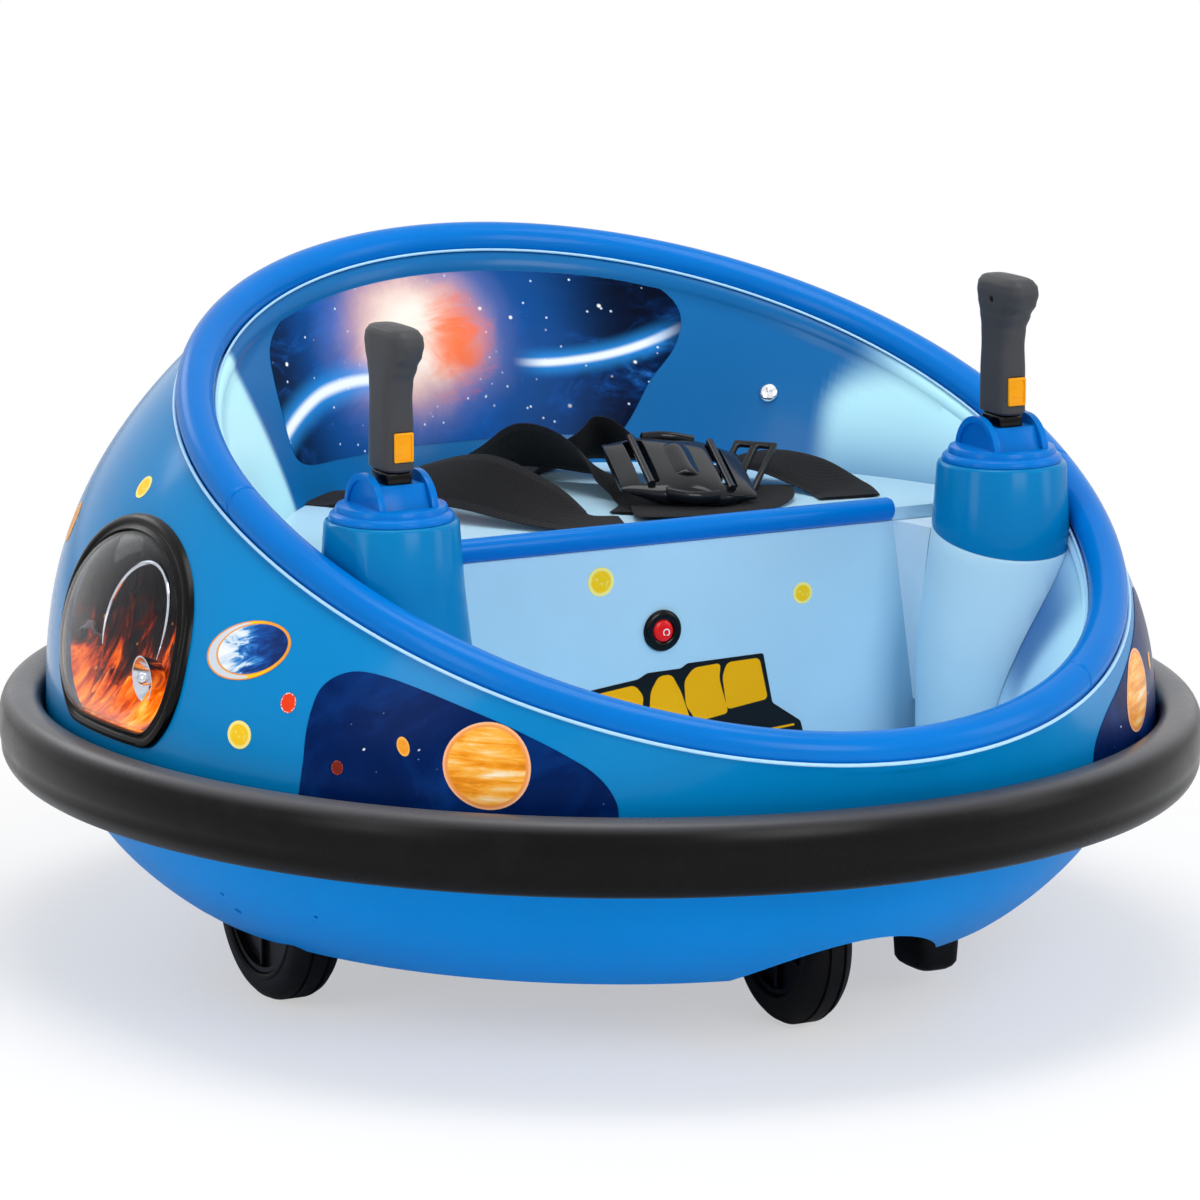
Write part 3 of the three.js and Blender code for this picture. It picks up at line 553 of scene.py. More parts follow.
class Recipe:
    """The node tree of a material, or of the world, while it is written."""

    def __init__(self, name: str, kind: Owner = Owner.MATERIAL) -> None:
        """Starts a material or a world with an empty tree."""
        self.kind = kind
        stock = bpy.data.worlds if kind is Owner.WORLD else bpy.data.materials
        self.owner = stock.new(name)
        self.owner.use_nodes = True
        self.tree = self.owner.node_tree
        self.tree.nodes.clear()

    def node(self, kind: str, settings: Optional[dict] = None, inputs: Optional[dict] = None,
             output: object = None) -> Term:
        """Adds one node.

        Args:
            kind: The node's type.
            settings: Its properties, set first; a ramp's stops are (place, colour) pairs.
            inputs: Values or terms by socket name or number.
            output: The name or number of the socket to give back.

        Returns:
            That output, or the first one that is in use.
        """
        made = self.tree.nodes.new(kind)
        for key, value in (settings or {}).items():
            if key == "stops":
                while len(made.color_ramp.elements) < len(value):
                    made.color_ramp.elements.new(0.5)
                for element, (place, colour) in zip(made.color_ramp.elements, value):
                    element.position = place
                    element.color = (*colour, 1)
            else:
                setattr(made, key, value)
        for key, value in (inputs or {}).items():
            socket = made.inputs[key]
            if isinstance(value, Term):
                self.tree.links.new(value.socket, socket)
            elif isinstance(value, tuple) and len(value) == 3 and socket.type == "RGBA":
                socket.default_value = (*value, 1)
            else:
                socket.default_value = value
        if output is not None:
            return Term(self, made.outputs[output])
        shown = [s for s in made.outputs if s.enabled] or [None]
        return Term(self, shown[0])

    def place(self) -> Term:
        """The piece's own coordinates, in metres."""
        return self.node("ShaderNodeTexCoord", output="Object")

    def attribute(self, name: str) -> Term:
        """A pattern's own coordinates, kept on the mesh's points."""
        return self.node("ShaderNodeAttribute", {"attribute_name": name}, output="Vector")

    def axes(self, vector: Term) -> tuple[Term, Term, Term]:
        """The three parts of a vector."""
        first = self.node("ShaderNodeSeparateXYZ", inputs={0: vector}, output=0)
        return first, *(Term(self, first.socket.node.outputs[k]) for k in (1, 2))

    def stretched(self, vector: Term, scale: Point) -> Term:
        """A vector times a scale on each axis."""
        return self.node("ShaderNodeVectorMath", {"operation": "MULTIPLY"}, {0: vector, 1: scale})

    def distance(self, vector: Term, point: Point) -> Term:
        """How far a vector is from a point."""
        return self.node("ShaderNodeVectorMath", {"operation": "DISTANCE"}, {0: vector, 1: point},
                         "Value")

    def noise(self, vector: Term, scale: float, detail: float = 3.0, rough: float = 0.5,
              warp: float = 0.0) -> Term:
        """Cloudy noise from 0 to 1."""
        return self.node("ShaderNodeTexNoise", {"noise_dimensions": "3D"},
                         {"Vector": vector, "Scale": scale, "Detail": detail, "Roughness": rough,
                          "Distortion": warp}, 0)

    def stars(self, vector: Term, scale: float, size: float, share: float) -> Term:
        """Small round specks in some of the cells of a grid of cells."""
        cell = {"Vector": vector, "Scale": scale}
        near = self.node("ShaderNodeTexVoronoi", {}, cell, "Distance")
        pick = self.node("ShaderNodeSeparateColor", {}, {
            0: Term(self, near.socket.node.outputs["Color"])}, 0)
        return near.step(size, size * 0.35) * pick.step(1 - share, 1 - share + 0.02)

    def mix(self, factor: Operand, a: object, b: object, blend: str = "MIX") -> Term:
        """Colour a, with colour b laid over it by a factor."""
        return self.node("ShaderNodeMix", {"data_type": "RGBA", "blend_type": blend},
                         {0: factor, 6: a, 7: b}, 2)

    def ramp(self, value: Term, *stops: tuple[float, Point]) -> Term:
        """Colours along a value."""
        return self.node("ShaderNodeValToRGB", {"stops": stops}, {0: value}, 0)

    def bump(self, height: Term, depth: float, strength: float = 1.0) -> Term:
        """A bump of some height in metres."""
        return self.node("ShaderNodeBump", {}, {"Height": height, "Distance": depth,
                                                "Strength": strength}, 0)

    def principled(self, **sockets: object) -> Term:
        """The plain surface shader; a name's underscores stand for spaces."""
        return self.node("ShaderNodeBsdfPrincipled", {}, {
            key.replace("_", " "): value for key, value in sockets.items()}, 0)

    def finish(self, surface: Term) -> bpy.types.ID:
        """Ends the recipe with its surface."""
        self.node(self.kind.value, {}, {"Surface": surface})
        return self.owner


def paint(code: str) -> Point:
    """A colour written as six hexadecimal digits, as the light that it returns."""
    shares = [int(code[k:k + 2], 16) / 255 for k in (0, 2, 4)]
    return tuple(c / 12.92 if c <= 0.04045 else ((c + 0.055) / 1.055) ** 2.4 for c in shares)


def shade(colour: Point, factor: float) -> Point:
    """A colour made darker or lighter."""
    return tuple(min(1.0, c * factor) for c in colour)


@dataclass(frozen=True)
class MouldedPlastic:
    """Injection-moulded plastic: faint flow clouds, handling scuffs and a fine orange peel."""

    name: str
    colour: Point
    roughness: float = 0.25
    coat: float = 0.1
    peel: float = 0.00002
    cloud: float = 0.05
    grain_scale: float = 900.0
    specular: float = 0.08

    def material(self) -> Material:
        """Writes the material."""
        recipe = Recipe(self.name)
        spot = recipe.place()
        clouds = recipe.noise(spot, 9.0, 3.0)
        tint = recipe.mix(clouds.step(0.25, 0.75), shade(self.colour, 1 - self.cloud),
                          shade(self.colour, 1 + self.cloud))
        scuffs = recipe.noise(recipe.stretched(spot, (1.0, 1.0, 5.0)), 60.0, 6.0, 0.7)
        fine = recipe.noise(spot, self.grain_scale, 2.0)
        rough = self.roughness + scuffs.step(0.5, 0.9) * 0.05 + (fine - 0.5) * 0.04
        return recipe.finish(recipe.principled(
            Base_Color=tint, Roughness=rough, Coat_Weight=self.coat, Coat_Roughness=0.08,
            Specular_IOR_Level=self.specular, Normal=recipe.bump(fine, self.peel)))


@dataclass(frozen=True)
class TwoTonePlastic:
    """The liner's plastic: pale round the feet and up both sides, mid blue behind the seat, with a painted
    highlight towards white and a painted shade patch.
    """

    name: str
    pale: Point
    mid: Point
    # deep is the colour of the painted shade patch
    deep: Point

    def material(self) -> Material:
        """Writes the material; the tones meet along a soft line over the seat's sides."""
        recipe = Recipe(self.name)
        # the pale share is the second tone; lift is a painted highlight towards white; shadow is a painted
        # shade patch
        share, lift, shadow = recipe.axes(recipe.attribute("liner_tone"))
        clouds = recipe.noise(recipe.place(), 9.0, 3.0)
        fine = recipe.noise(recipe.place(), 900.0, 2.0)
        body = recipe.mix(clouds.step(0.25, 0.75), shade(self.mid, 0.95), shade(self.mid, 1.05))
        colour = recipe.mix(share, body, self.pale)
        # painted highlight: mixes the wall towards a whiter pale
        colour = recipe.mix(lift, colour, shade(self.pale, 1.45))
        # painted shade: a darker blue patch
        colour = recipe.mix(shadow, colour, self.deep)
        return recipe.finish(recipe.principled(
            Base_Color=colour, Roughness=0.26 + clouds * 0.08, Coat_Weight=0.06,
            Coat_Roughness=0.08, Specular_IOR_Level=0.16, Normal=recipe.bump(fine, 0.00002)))


@dataclass(frozen=True)
class Rubber:
    """Black rubber or soft vinyl: matt, with a fine grain, dust and scrapes, and an optional painted
    highlight that makes upward faces paler.
    """

    name: str
    colour: Point
    roughness: float = 0.5
    coat: float = 0.0
    grain: float = 0.00006
    grain_scale: float = 1400.0
    dust: float = 0.25
    sheen: float = 0.0                # how much a painted highlight lightens the faces that look up

    def material(self) -> Material:
        """Writes the material."""
        recipe = Recipe(self.name)
        spot = recipe.place()
        upward = recipe.axes(recipe.node("ShaderNodeNewGeometry", {}, {}, "Normal"))[2]
        pores = recipe.noise(spot, self.grain_scale, 3.0, 0.6)
        patches = recipe.noise(spot, 22.0, 5.0, 0.65)
        tint = recipe.mix(patches.step(0.5, 0.85) * self.dust, self.colour, paint("6d6e70"))
        # painted highlight: faces that look up are mixed towards a paler grey, standing in for the top
        # light
        tint = recipe.mix(upward.step(0.35, 0.97) * self.sheen, tint, paint("6a6a6e"))
        rough = self.roughness + (patches - 0.5) * 0.22 + (pores - 0.5) * 0.1
        return recipe.finish(recipe.principled(
            Base_Color=tint, Roughness=rough, Coat_Weight=self.coat, Coat_Roughness=0.3,
            Specular_IOR_Level=0.1, Normal=recipe.bump(pores, self.grain)))


@dataclass(frozen=True)
class Webbing:
    """Woven black webbing, its ribs running across the strap, with denser selvedges and painted shade in
    the hollows of the weave.
    """

    name: str
    rib: float = 1.9                  # millimetres from rib to rib
    cord: float = 2.6                 # and from cord to cord

    def material(self) -> Material:
        """Writes the material on the strap's own across and along coordinates in millimetres."""
        recipe = Recipe(self.name)
        weave = recipe.attribute("strap_run")
        across, along, _ = recipe.axes(weave)
        rib, cord = along * (TURN / self.rib), across * (TURN / self.cord)
        pick = rib.math("SINE", rib) * cord.math("SINE", cord) * 0.5 + 0.5
        fuzz = recipe.noise(weave, 1.6, 4.0, 0.7)
        height = pick * 0.8 + fuzz * 0.2
        edge = across.math("ABSOLUTE", across).step(15.6, 16.6)
        # painted shade: the weave's low spots are darker and its raised picks paler
        colour = recipe.mix(height, paint("040405"), paint("17171a"))
        colour = recipe.mix(edge * 0.6, colour, paint("202024"))
        return recipe.finish(recipe.principled(
            Base_Color=colour, Roughness=0.72 + fuzz * 0.2, Specular_IOR_Level=0.12,
            Sheen_Weight=0.04, Sheen_Roughness=0.5, Normal=recipe.bump(height, 0.00035)))


@dataclass(frozen=True)
class ClearLens:
    """Clear moulded polycarbonate with a faint smoky tint and fine mould lines."""

    name: str
    tint: Point = (0.93, 0.94, 0.96)

    def material(self) -> Material:
        """Writes a thin clear skin: what is behind shows through, and its gloss lies on top."""
        recipe = Recipe(self.name)
        haze = recipe.noise(recipe.place(), 40.0, 3.0)
        gloss = recipe.principled(Base_Color=(1.0, 1.0, 1.0), Metallic=0.0,
                                  Roughness=0.02 + haze * 0.05, Coat_Weight=1.0,
                                  Coat_Roughness=0.02, Specular_IOR_Level=0.8)
        clear = recipe.node("ShaderNodeBsdfTransparent", {}, {0: self.tint})
        facing = recipe.node("ShaderNodeLayerWeight", {}, {"Blend": 0.5}, "Facing")
        amount = facing ** 4.0 * 0.5 + haze.step(0.6, 0.9) * 0.01
        return recipe.finish(recipe.node("ShaderNodeMixShader", {}, {0: amount, 1: clear, 2: gloss}))


@dataclass(frozen=True)
class GlowReflector:
    """The lamp's reflector: fire colours over chromed flutes, from red through orange to white, with a
    painted glow though no lamp is lit in it and painted glints.
    """

    name: str

    def material(self) -> Material:
        """Writes the material on the lamp's own coordinates, -1 to 1 across and up."""
        recipe = Recipe(self.name)
        lamp = recipe.attribute("lamp_place")
        up = recipe.axes(lamp)[1]
        flow = recipe.noise(recipe.stretched(lamp, (2.6, 0.9, 1.0)), 2.2, 5.0, 0.62, 0.9)
        streak = recipe.noise(recipe.stretched(lamp, (9.0, 0.8, 1.0)), 1.8, 3.0, 0.6, 0.5)
        heat = flow * 1.5 + streak * 0.22 - up * 0.62 - 0.62
        fire = recipe.ramp(heat.math("MULTIPLY", heat, 1.0, clamp=True),
                           (0.0, paint("08090d")), (0.2, paint("150d10")),
                           (0.36, paint("5a1204")), (0.5, paint("c63c00")),
                           (0.68, paint("f07a10")), (0.88, paint("ffb440")), (1.0, paint("fff0d0")))
        # painted highlight: bright specks stand in for glints
        specks = recipe.stars(lamp, 9.0, 0.16, 0.3)
        colour = recipe.mix(specks * 0.8, fire, paint("ffb45a"))
        # painted glow: the hotter colours emit light, though the lamp is not lit
        glow = recipe.mix(heat.step(0.3, 0.6), (0.0, 0.0, 0.0), fire)
        return recipe.finish(recipe.principled(
            Base_Color=colour, Roughness=0.2 + streak * 0.2, Specular_IOR_Level=0.12,
            Emission_Color=glow, Emission_Strength=0.8, Normal=recipe.bump(flow, 0.0006)))


@dataclass(frozen=True)
class BrushedMetal:
    """Bright turned steel with fine rings and a little tarnish."""

    name: str
    colour: Point = (0.62, 0.64, 0.67)
    roughness: float = 0.2

    def material(self) -> Material:
        """Writes the material."""
        recipe = Recipe(self.name)
        lines = recipe.noise(recipe.stretched(recipe.place(), (1.0, 14.0, 1.0)), 400.0, 3.0)
        stain = recipe.noise(recipe.place(), 90.0, 4.0)
        colour = recipe.mix(stain.step(0.45, 0.8) * 0.5, self.colour, shade(self.colour, 0.55))
        return recipe.finish(recipe.principled(
            Base_Color=colour, Metallic=1.0, Roughness=self.roughness + lines * 0.15,
            Normal=recipe.bump(lines, 0.00002)))


@dataclass(frozen=True)
class NebulaFilm:
    """A glossy printed film: deep sky, a warm glow, drifts of blue gas, stars and two bright arcs.

    Its coordinates are millimetres across (to the right as the panel is faced) and up.
    """

    name: str

    def material(self) -> Material:
        """Writes the material."""
        recipe = Recipe(self.name)
        film = recipe.attribute("film_place")
        across = recipe.axes(film)[0]
        gas = recipe.noise(film, 0.012, 7.0, 0.62, 0.8)
        wisps = recipe.noise(recipe.stretched(film, (0.6, 1.3, 1.0)), 0.035, 6.0, 0.68, 1.4)
        centre = recipe.distance(recipe.stretched(film, (1.0, 1.15, 1.0)), (-15.0, 8.0, 0.0))
        near = centre + (gas - 0.5) * 34.0
        sky = recipe.ramp((gas * 0.75 + wisps * 0.5).step(0.42, 1.05),
                          (0.0, paint("020610")), (0.3, paint("051c48")), (0.6, paint("0d4c9c")),
                          (0.85, paint("2f86d8")), (1.0, paint("9ad0f6")))
        sky = recipe.mix(near.step(150.0, 60.0) * 0.55, sky, paint("1b66bd"))
        edge = across.math("ABSOLUTE", across).step(70.0, 125.0)
        sky = recipe.mix(edge * (1 - wisps.step(0.5, 0.75)) * 0.8, sky, paint("01040c"))
        sky = recipe.mix(near.step(78.0, 34.0) * 0.75, sky, paint("7f86c4"))
        sky = recipe.mix(near.step(60.0, 24.0) * 0.9, sky, paint("e3aa9c"))
        sky = recipe.mix(near.step(46.0, 12.0), sky, paint("fff2e6"))
        warm = recipe.distance(recipe.stretched(film, (1.0, 0.8, 1.0)), (16.0, 2.0, 0.0))
        sky = recipe.mix((warm + (wisps - 0.5) * 46.0).step(28.0, 2.0) * 0.85, sky, paint("ff6a14"))
        arcs = [(-58.0, -136.0, 124.0, 4.6, -150.0, -20.0), (70.0, 150.0, 162.0, 3.2, 48.0, 150.0)]
        for x, y, radius, thick, low, high in arcs:
            ring = recipe.distance(film, (x, y, 0.0)) - radius
            body = ring.math("ABSOLUTE", ring)
            inside = across.step(low, low + 22.0) * across.step(high, high - 30.0)
            sky = recipe.mix(body.step(thick * 3.2, 0.0) * inside * 0.8, sky, paint("2e9bf0"))
            sky = recipe.mix(body.step(thick, thick * 0.2) * inside, sky, paint("f3fbff"))
        small = recipe.stars(film, 0.16, 0.15, 0.55)
        large = recipe.stars(recipe.stretched(film, (1.0, 1.05, 1.0)), 0.055, 0.085, 0.7)
        far = near.step(30.0, 56.0)
        sky = recipe.mix(small * far * 0.85, sky, paint("d8ecff"))
        sky = recipe.mix(large * far, sky, (1.0, 1.0, 1.0))
        return recipe.finish(recipe.principled(
            Base_Color=sky, Roughness=0.3 + wisps * 0.05, Specular_IOR_Level=0.03))


@dataclass(frozen=True)
class StarfieldFilm:
    """A navy printed film with faint clouds and scattered white specks."""

    name: str

    def material(self) -> Material:
        """Writes the material on millimetres across and up."""
        recipe = Recipe(self.name)
        film = recipe.attribute("film_place")
        clouds = recipe.noise(film, 0.02, 5.0, 0.6, 0.7)
        sky = recipe.ramp(clouds, (0.0, paint("00103a")), (0.5, paint("012058")),
                          (0.8, paint("0a3c86")), (1.0, paint("2a66b2")))
        sky = recipe.mix(recipe.stars(film, 0.075, 0.07, 0.6), sky, paint("f2f7ff"))
        sky = recipe.mix(recipe.stars(film, 0.16, 0.06, 0.4) * 0.7, sky, paint("9fc4f0"))
        return recipe.finish(recipe.principled(
            Base_Color=sky, Roughness=0.22 + clouds * 0.06, Specular_IOR_Level=0.03))


class Print(Enum):
    """The small printed discs."""

    BANDED = "banded"
    MARBLED = "marbled"
    COIN = "coin"
    PLAIN = "plain"


@dataclass(frozen=True)
class PrintedDisc:
    """A small printed disc; its coordinates run from -1 to 1 across and up."""

    name: str
    pattern: Print
    colour: Point = (0.9, 0.55, 0.05)
    rim: Point = (1.0, 0.8, 0.4)

    def material(self) -> Material:
        """Writes the material."""
        recipe = Recipe(self.name)
        spot = recipe.attribute("disc_place")
        across, up, _ = recipe.axes(spot)
        radius = recipe.distance(spot, (0.0, 0.0, 0.0))
        if self.pattern is Print.BANDED:
            swirl = recipe.noise(recipe.stretched(spot, (0.5, 1.6, 1.0)), 2.2, 4.0, 0.6, 0.8)
            bands = recipe.noise(recipe.stretched(spot, (0.25, 2.6, 1.0)), 1.7, 3.0, 0.55, 0.5)
            colour = recipe.ramp((swirl * 0.45 + bands * 0.75).step(0.36, 0.86),
                                 (0.0, paint("d87a10")), (0.3, paint("f59a1c")),
                                 (0.55, paint("ffb84a")), (0.78, paint("fdd79a")),
                                 (1.0, paint("fff6e6")))
            colour = recipe.mix(radius.step(0.87, 0.9), colour, paint("f29a4e"))
            colour = recipe.mix(radius.step(0.93, 0.97), colour, paint("f7b98c"))
        elif self.pattern is Print.MARBLED:
            swirl = recipe.noise(recipe.stretched(spot, (0.9, 1.3, 1.0)), 1.5, 6.0, 0.6, 1.3)
            lit = swirl + (0.0 - across) * 0.28 + up * 0.06
            ball = recipe.ramp(lit.step(0.2, 0.85), (0.0, paint("0a2a66")), (0.3, paint("1450a4")),
                               (0.5, paint("3f8fd8")), (0.62, paint("cfe4f6")), (1.0, paint("ffffff")))
            inner = recipe.distance(recipe.stretched(spot, (1.14, 1.12, 1.0)), (0.13, 0.02, 0.0))
            crescent = recipe.mix(across.step(-0.1, 0.1), paint("d5dde6"), paint("ffd400"))
            colour = recipe.mix(inner.step(0.93, 0.95), ball, paint("f4a13a"))
            colour = recipe.mix(inner.step(0.985, 1.0), colour, crescent)
            colour = recipe.mix(radius.step(0.95, 0.965), colour, paint("f29b38"))
        elif self.pattern is Print.COIN:
            chip = recipe.noise(spot, 3.0, 4.0)
            colour = recipe.mix(chip.step(0.55, 0.62) * 0.5, self.colour, self.rim)
            colour = recipe.mix(radius.step(0.74, 0.78), colour, self.rim)
        else:
            fleck = recipe.noise(spot, 4.0, 2.0)
            colour = recipe.mix(radius.step(0.86, 0.9) * fleck.step(0.5, 0.56), self.colour, self.rim)
        return recipe.finish(recipe.principled(
            Base_Color=colour, Roughness=0.24, Specular_IOR_Level=0.12))


class Finishes:
    """Every finish on the car, made once."""

    def __init__(self) -> None:
        """Writes the materials."""
        self.body = MouldedPlastic("body_blue", paint("0083c6"), 0.16, 0.06).material()
        self.hull = MouldedPlastic("hull_blue", paint("008be0"), 0.38, 0.0).material()
        self.deep = MouldedPlastic("deep_blue", paint("0071c8"), 0.24, 0.03).material()
        self.pale = MouldedPlastic("pale_blue", paint("b4daee"), 0.3, 0.03).material()
        # pale beads along the rim: their colour is a painted highlight line
        self.bead = MouldedPlastic("edge_bead", paint("a9d8fb"), 0.2, 0.3).material()
        # the pod webs' extra paleness is a painted highlight
        self.web = MouldedPlastic("web_pale", paint("d6ebf8"), 0.25, 0.06).material()
        self.pod = MouldedPlastic("pod_blue", paint("0078b4"), 0.2, 0.04).material()
        # the third colour is the painted shade patch's colour
        self.liner = TwoTonePlastic("liner_blue", paint("a4d3f0"), paint("0064a4"),
                                    paint("00559a")).material()
        # the bumper's paler upward faces are a painted highlight
        self.bumper = Rubber("bumper_rubber", paint("040405"), 0.3, 0.05, 0.00003, dust=0.04,
                             sheen=0.75).material()
        self.tyre = Rubber("tyre_rubber", paint("0e0e0f"), 0.5, 0.0, 0.0001, dust=0.12).material()
        self.black = MouldedPlastic("black_plastic", paint("0b0b0d"), 0.34, 0.1, 0.00004,
                                    0.15).material()
        self.gloss_black = MouldedPlastic("gloss_black", paint("060607"), 0.16, 0.2).material()
        self.buckle = MouldedPlastic("buckle_black", paint("14171b"), 0.16, 0.25).material()
        self.gasket = Rubber("lamp_gasket", paint("030304"), 0.24, 0.05, 0.00002, dust=0.0).material()
        self.grip = Rubber("grip_grey", paint("424346"), 0.46, 0.05, 0.00007, 1800.0, 0.1).material()
        self.amber = MouldedPlastic("button_amber", paint("f5a300"), 0.3, 0.3).material()
        self.red = MouldedPlastic("rocker_red", paint("ee1416"), 0.2, 0.3).material()
        self.white_ink = MouldedPlastic("white_ink", paint("f4f4f2"), 0.3, 0.2).material()
        self.black_ink = MouldedPlastic("black_ink", paint("0c0c0e"), 0.3, 0.3).material()
        self.orange_ink = MouldedPlastic("orange_ink", paint("ffb40a"), 0.3, 0.05).material()
        self.lens = ClearLens("clear_lens").material()
        self.glow = GlowReflector("lamp_glow").material()
        self.bright = BrushedMetal("bright_metal", (0.8, 0.82, 0.85), 0.06).material()
        self.steel = BrushedMetal("axle_steel").material()
        self.webbing = Webbing("webbing").material()
        self.nebula = NebulaFilm("nebula_film").material()
        self.stars = StarfieldFilm("starfield_film").material()
        self.banded = PrintedDisc("banded_ball", Print.BANDED).material()
        self.marbled = PrintedDisc("marbled_ball", Print.MARBLED).material()
        self.coin = PrintedDisc("yellow_disc", Print.COIN, paint("ffcf1c"), paint("ffee8a")).material()
        self.amber_coin = PrintedDisc("amber_disc", Print.COIN, paint("f29a20"),
                                      paint("f7b04a")).material()
        self.red_dot = PrintedDisc("red_dot", Print.PLAIN, paint("f0401a"), paint("ffe8d8")).material()
        self.dark_dot = PrintedDisc("dark_dot", Print.PLAIN, paint("7a1f12"), paint("c05a40")).material()


def store(piece: Piece, name: str, values: Sequence[Point]) -> None:
    """Keeps a vector on each point of a mesh, for a pattern to read."""
    layer = piece.data.attributes.new(name, "FLOAT_VECTOR", "POINT")
    layer.data.foreach_set("vector", [c for value in values for c in value])


@dataclass
class LowerHull:
    """The bowl under the ring, with its caster wells and wheel slots."""

    floor_height: float = 40.0
    top_height: float = 112.0
    brim_rise: float = 81.0
    floor_size: Point = (247.4, 231.6, 0.0)
    brim_size: Point = (302.0, 293.0, 0.0)
    round_up: float = 1.86            # the powers that round the bowl's side
    round_out: float = 0.935
    shelf_rise: float = 5.0
    well_x: float = 192.0
    well_radius: float = 80.0
    well_ceiling: float = 113.0
    slot_half_length: float = 59.5
    slot_half_width: float = 20.0
    rows: int = 18

    def loops(self, inset: float, top: float) -> list[Loop]:
        """The bowl's loops from its flat floor up to a height, moved in by the wall or not at all."""
        loops = []
        for share in spread(self.rows + 1):
            rise = (self.top_height - self.floor_height) * share
            out = (1 - (1 - rise / self.brim_rise) ** self.round_up) ** self.round_out
            length, width, _ = mixed(self.floor_size, self.brim_size, out)
            height = self.floor_height + inset + rise
            loops.append([((length - inset) * cos(a), (width - inset) * sin(a), height)
                          for a in angles(BODY_STEPS)])
        for height in (self.top_height + self.shelf_rise + inset, top):
            loops.append([LAYOUT.base_point(a, inset, height) for a in angles(BODY_STEPS)])
        return loops

    def build(self, finishes: Finishes) -> None:
        """Makes the hull: bowl, wells, slots and its few small screw holes."""
        seam = LAYOUT.ring_height - LAYOUT.gap / 2
        wall = LAYOUT.wall
        hull = loft("hull", self.loops(0.0, seam))
        cut(hull, loft("inside", self.loops(wall, seam + wall)))
        for end in End:
            place = (end.value * self.well_x, end.value * LAYOUT.caster_y, 0.0)
            below = self.floor_height - wall
            cup = rod("cup", self.well_radius + wall, below, self.well_ceiling + wall, 96, place)
            cup = cut(cup, loft("bowl", self.loops(0.0, seam)), "INTERSECT")
            cut(hull, cup, "UNION")
            cut(hull, rod("well", self.well_radius, below - wall, self.well_ceiling, 96, place))
        for side in Side:
            middle = side.value * LAYOUT.drive_y
            cut(hull, rounded_box(
                "slot", (LAYOUT.drive_x - self.slot_half_length, middle - self.slot_half_width, 30.0),
                (LAYOUT.drive_x + self.slot_half_length, middle + self.slot_half_width, 55.0), 6.0))
        for x, y, z, size in ((68.5, -264.6, 74.0, 1.5), (67.0, -254.6, 63.5, 2.4),
                              (132.0, -239.8, 72.7, 1.3)):
            drill = rod("drill", size, -6, 6, 20)
            aim = Vector((x / self.brim_size[0] ** 2, y / self.brim_size[1] ** 2,
                          -0.4 / 120)).normalized()
            spin(drill, Matrix.Translation(Vector((x, y, z)) * MM)
                 @ aim.to_track_quat("Z", "Y").to_matrix().to_4x4())
            cut(hull, drill)
        softened(hull, 0.7, 2, 40.0)
        Shop.deliver(hull, finishes.hull, "body", "hull_blue", ["lower_hull"], 30.0)


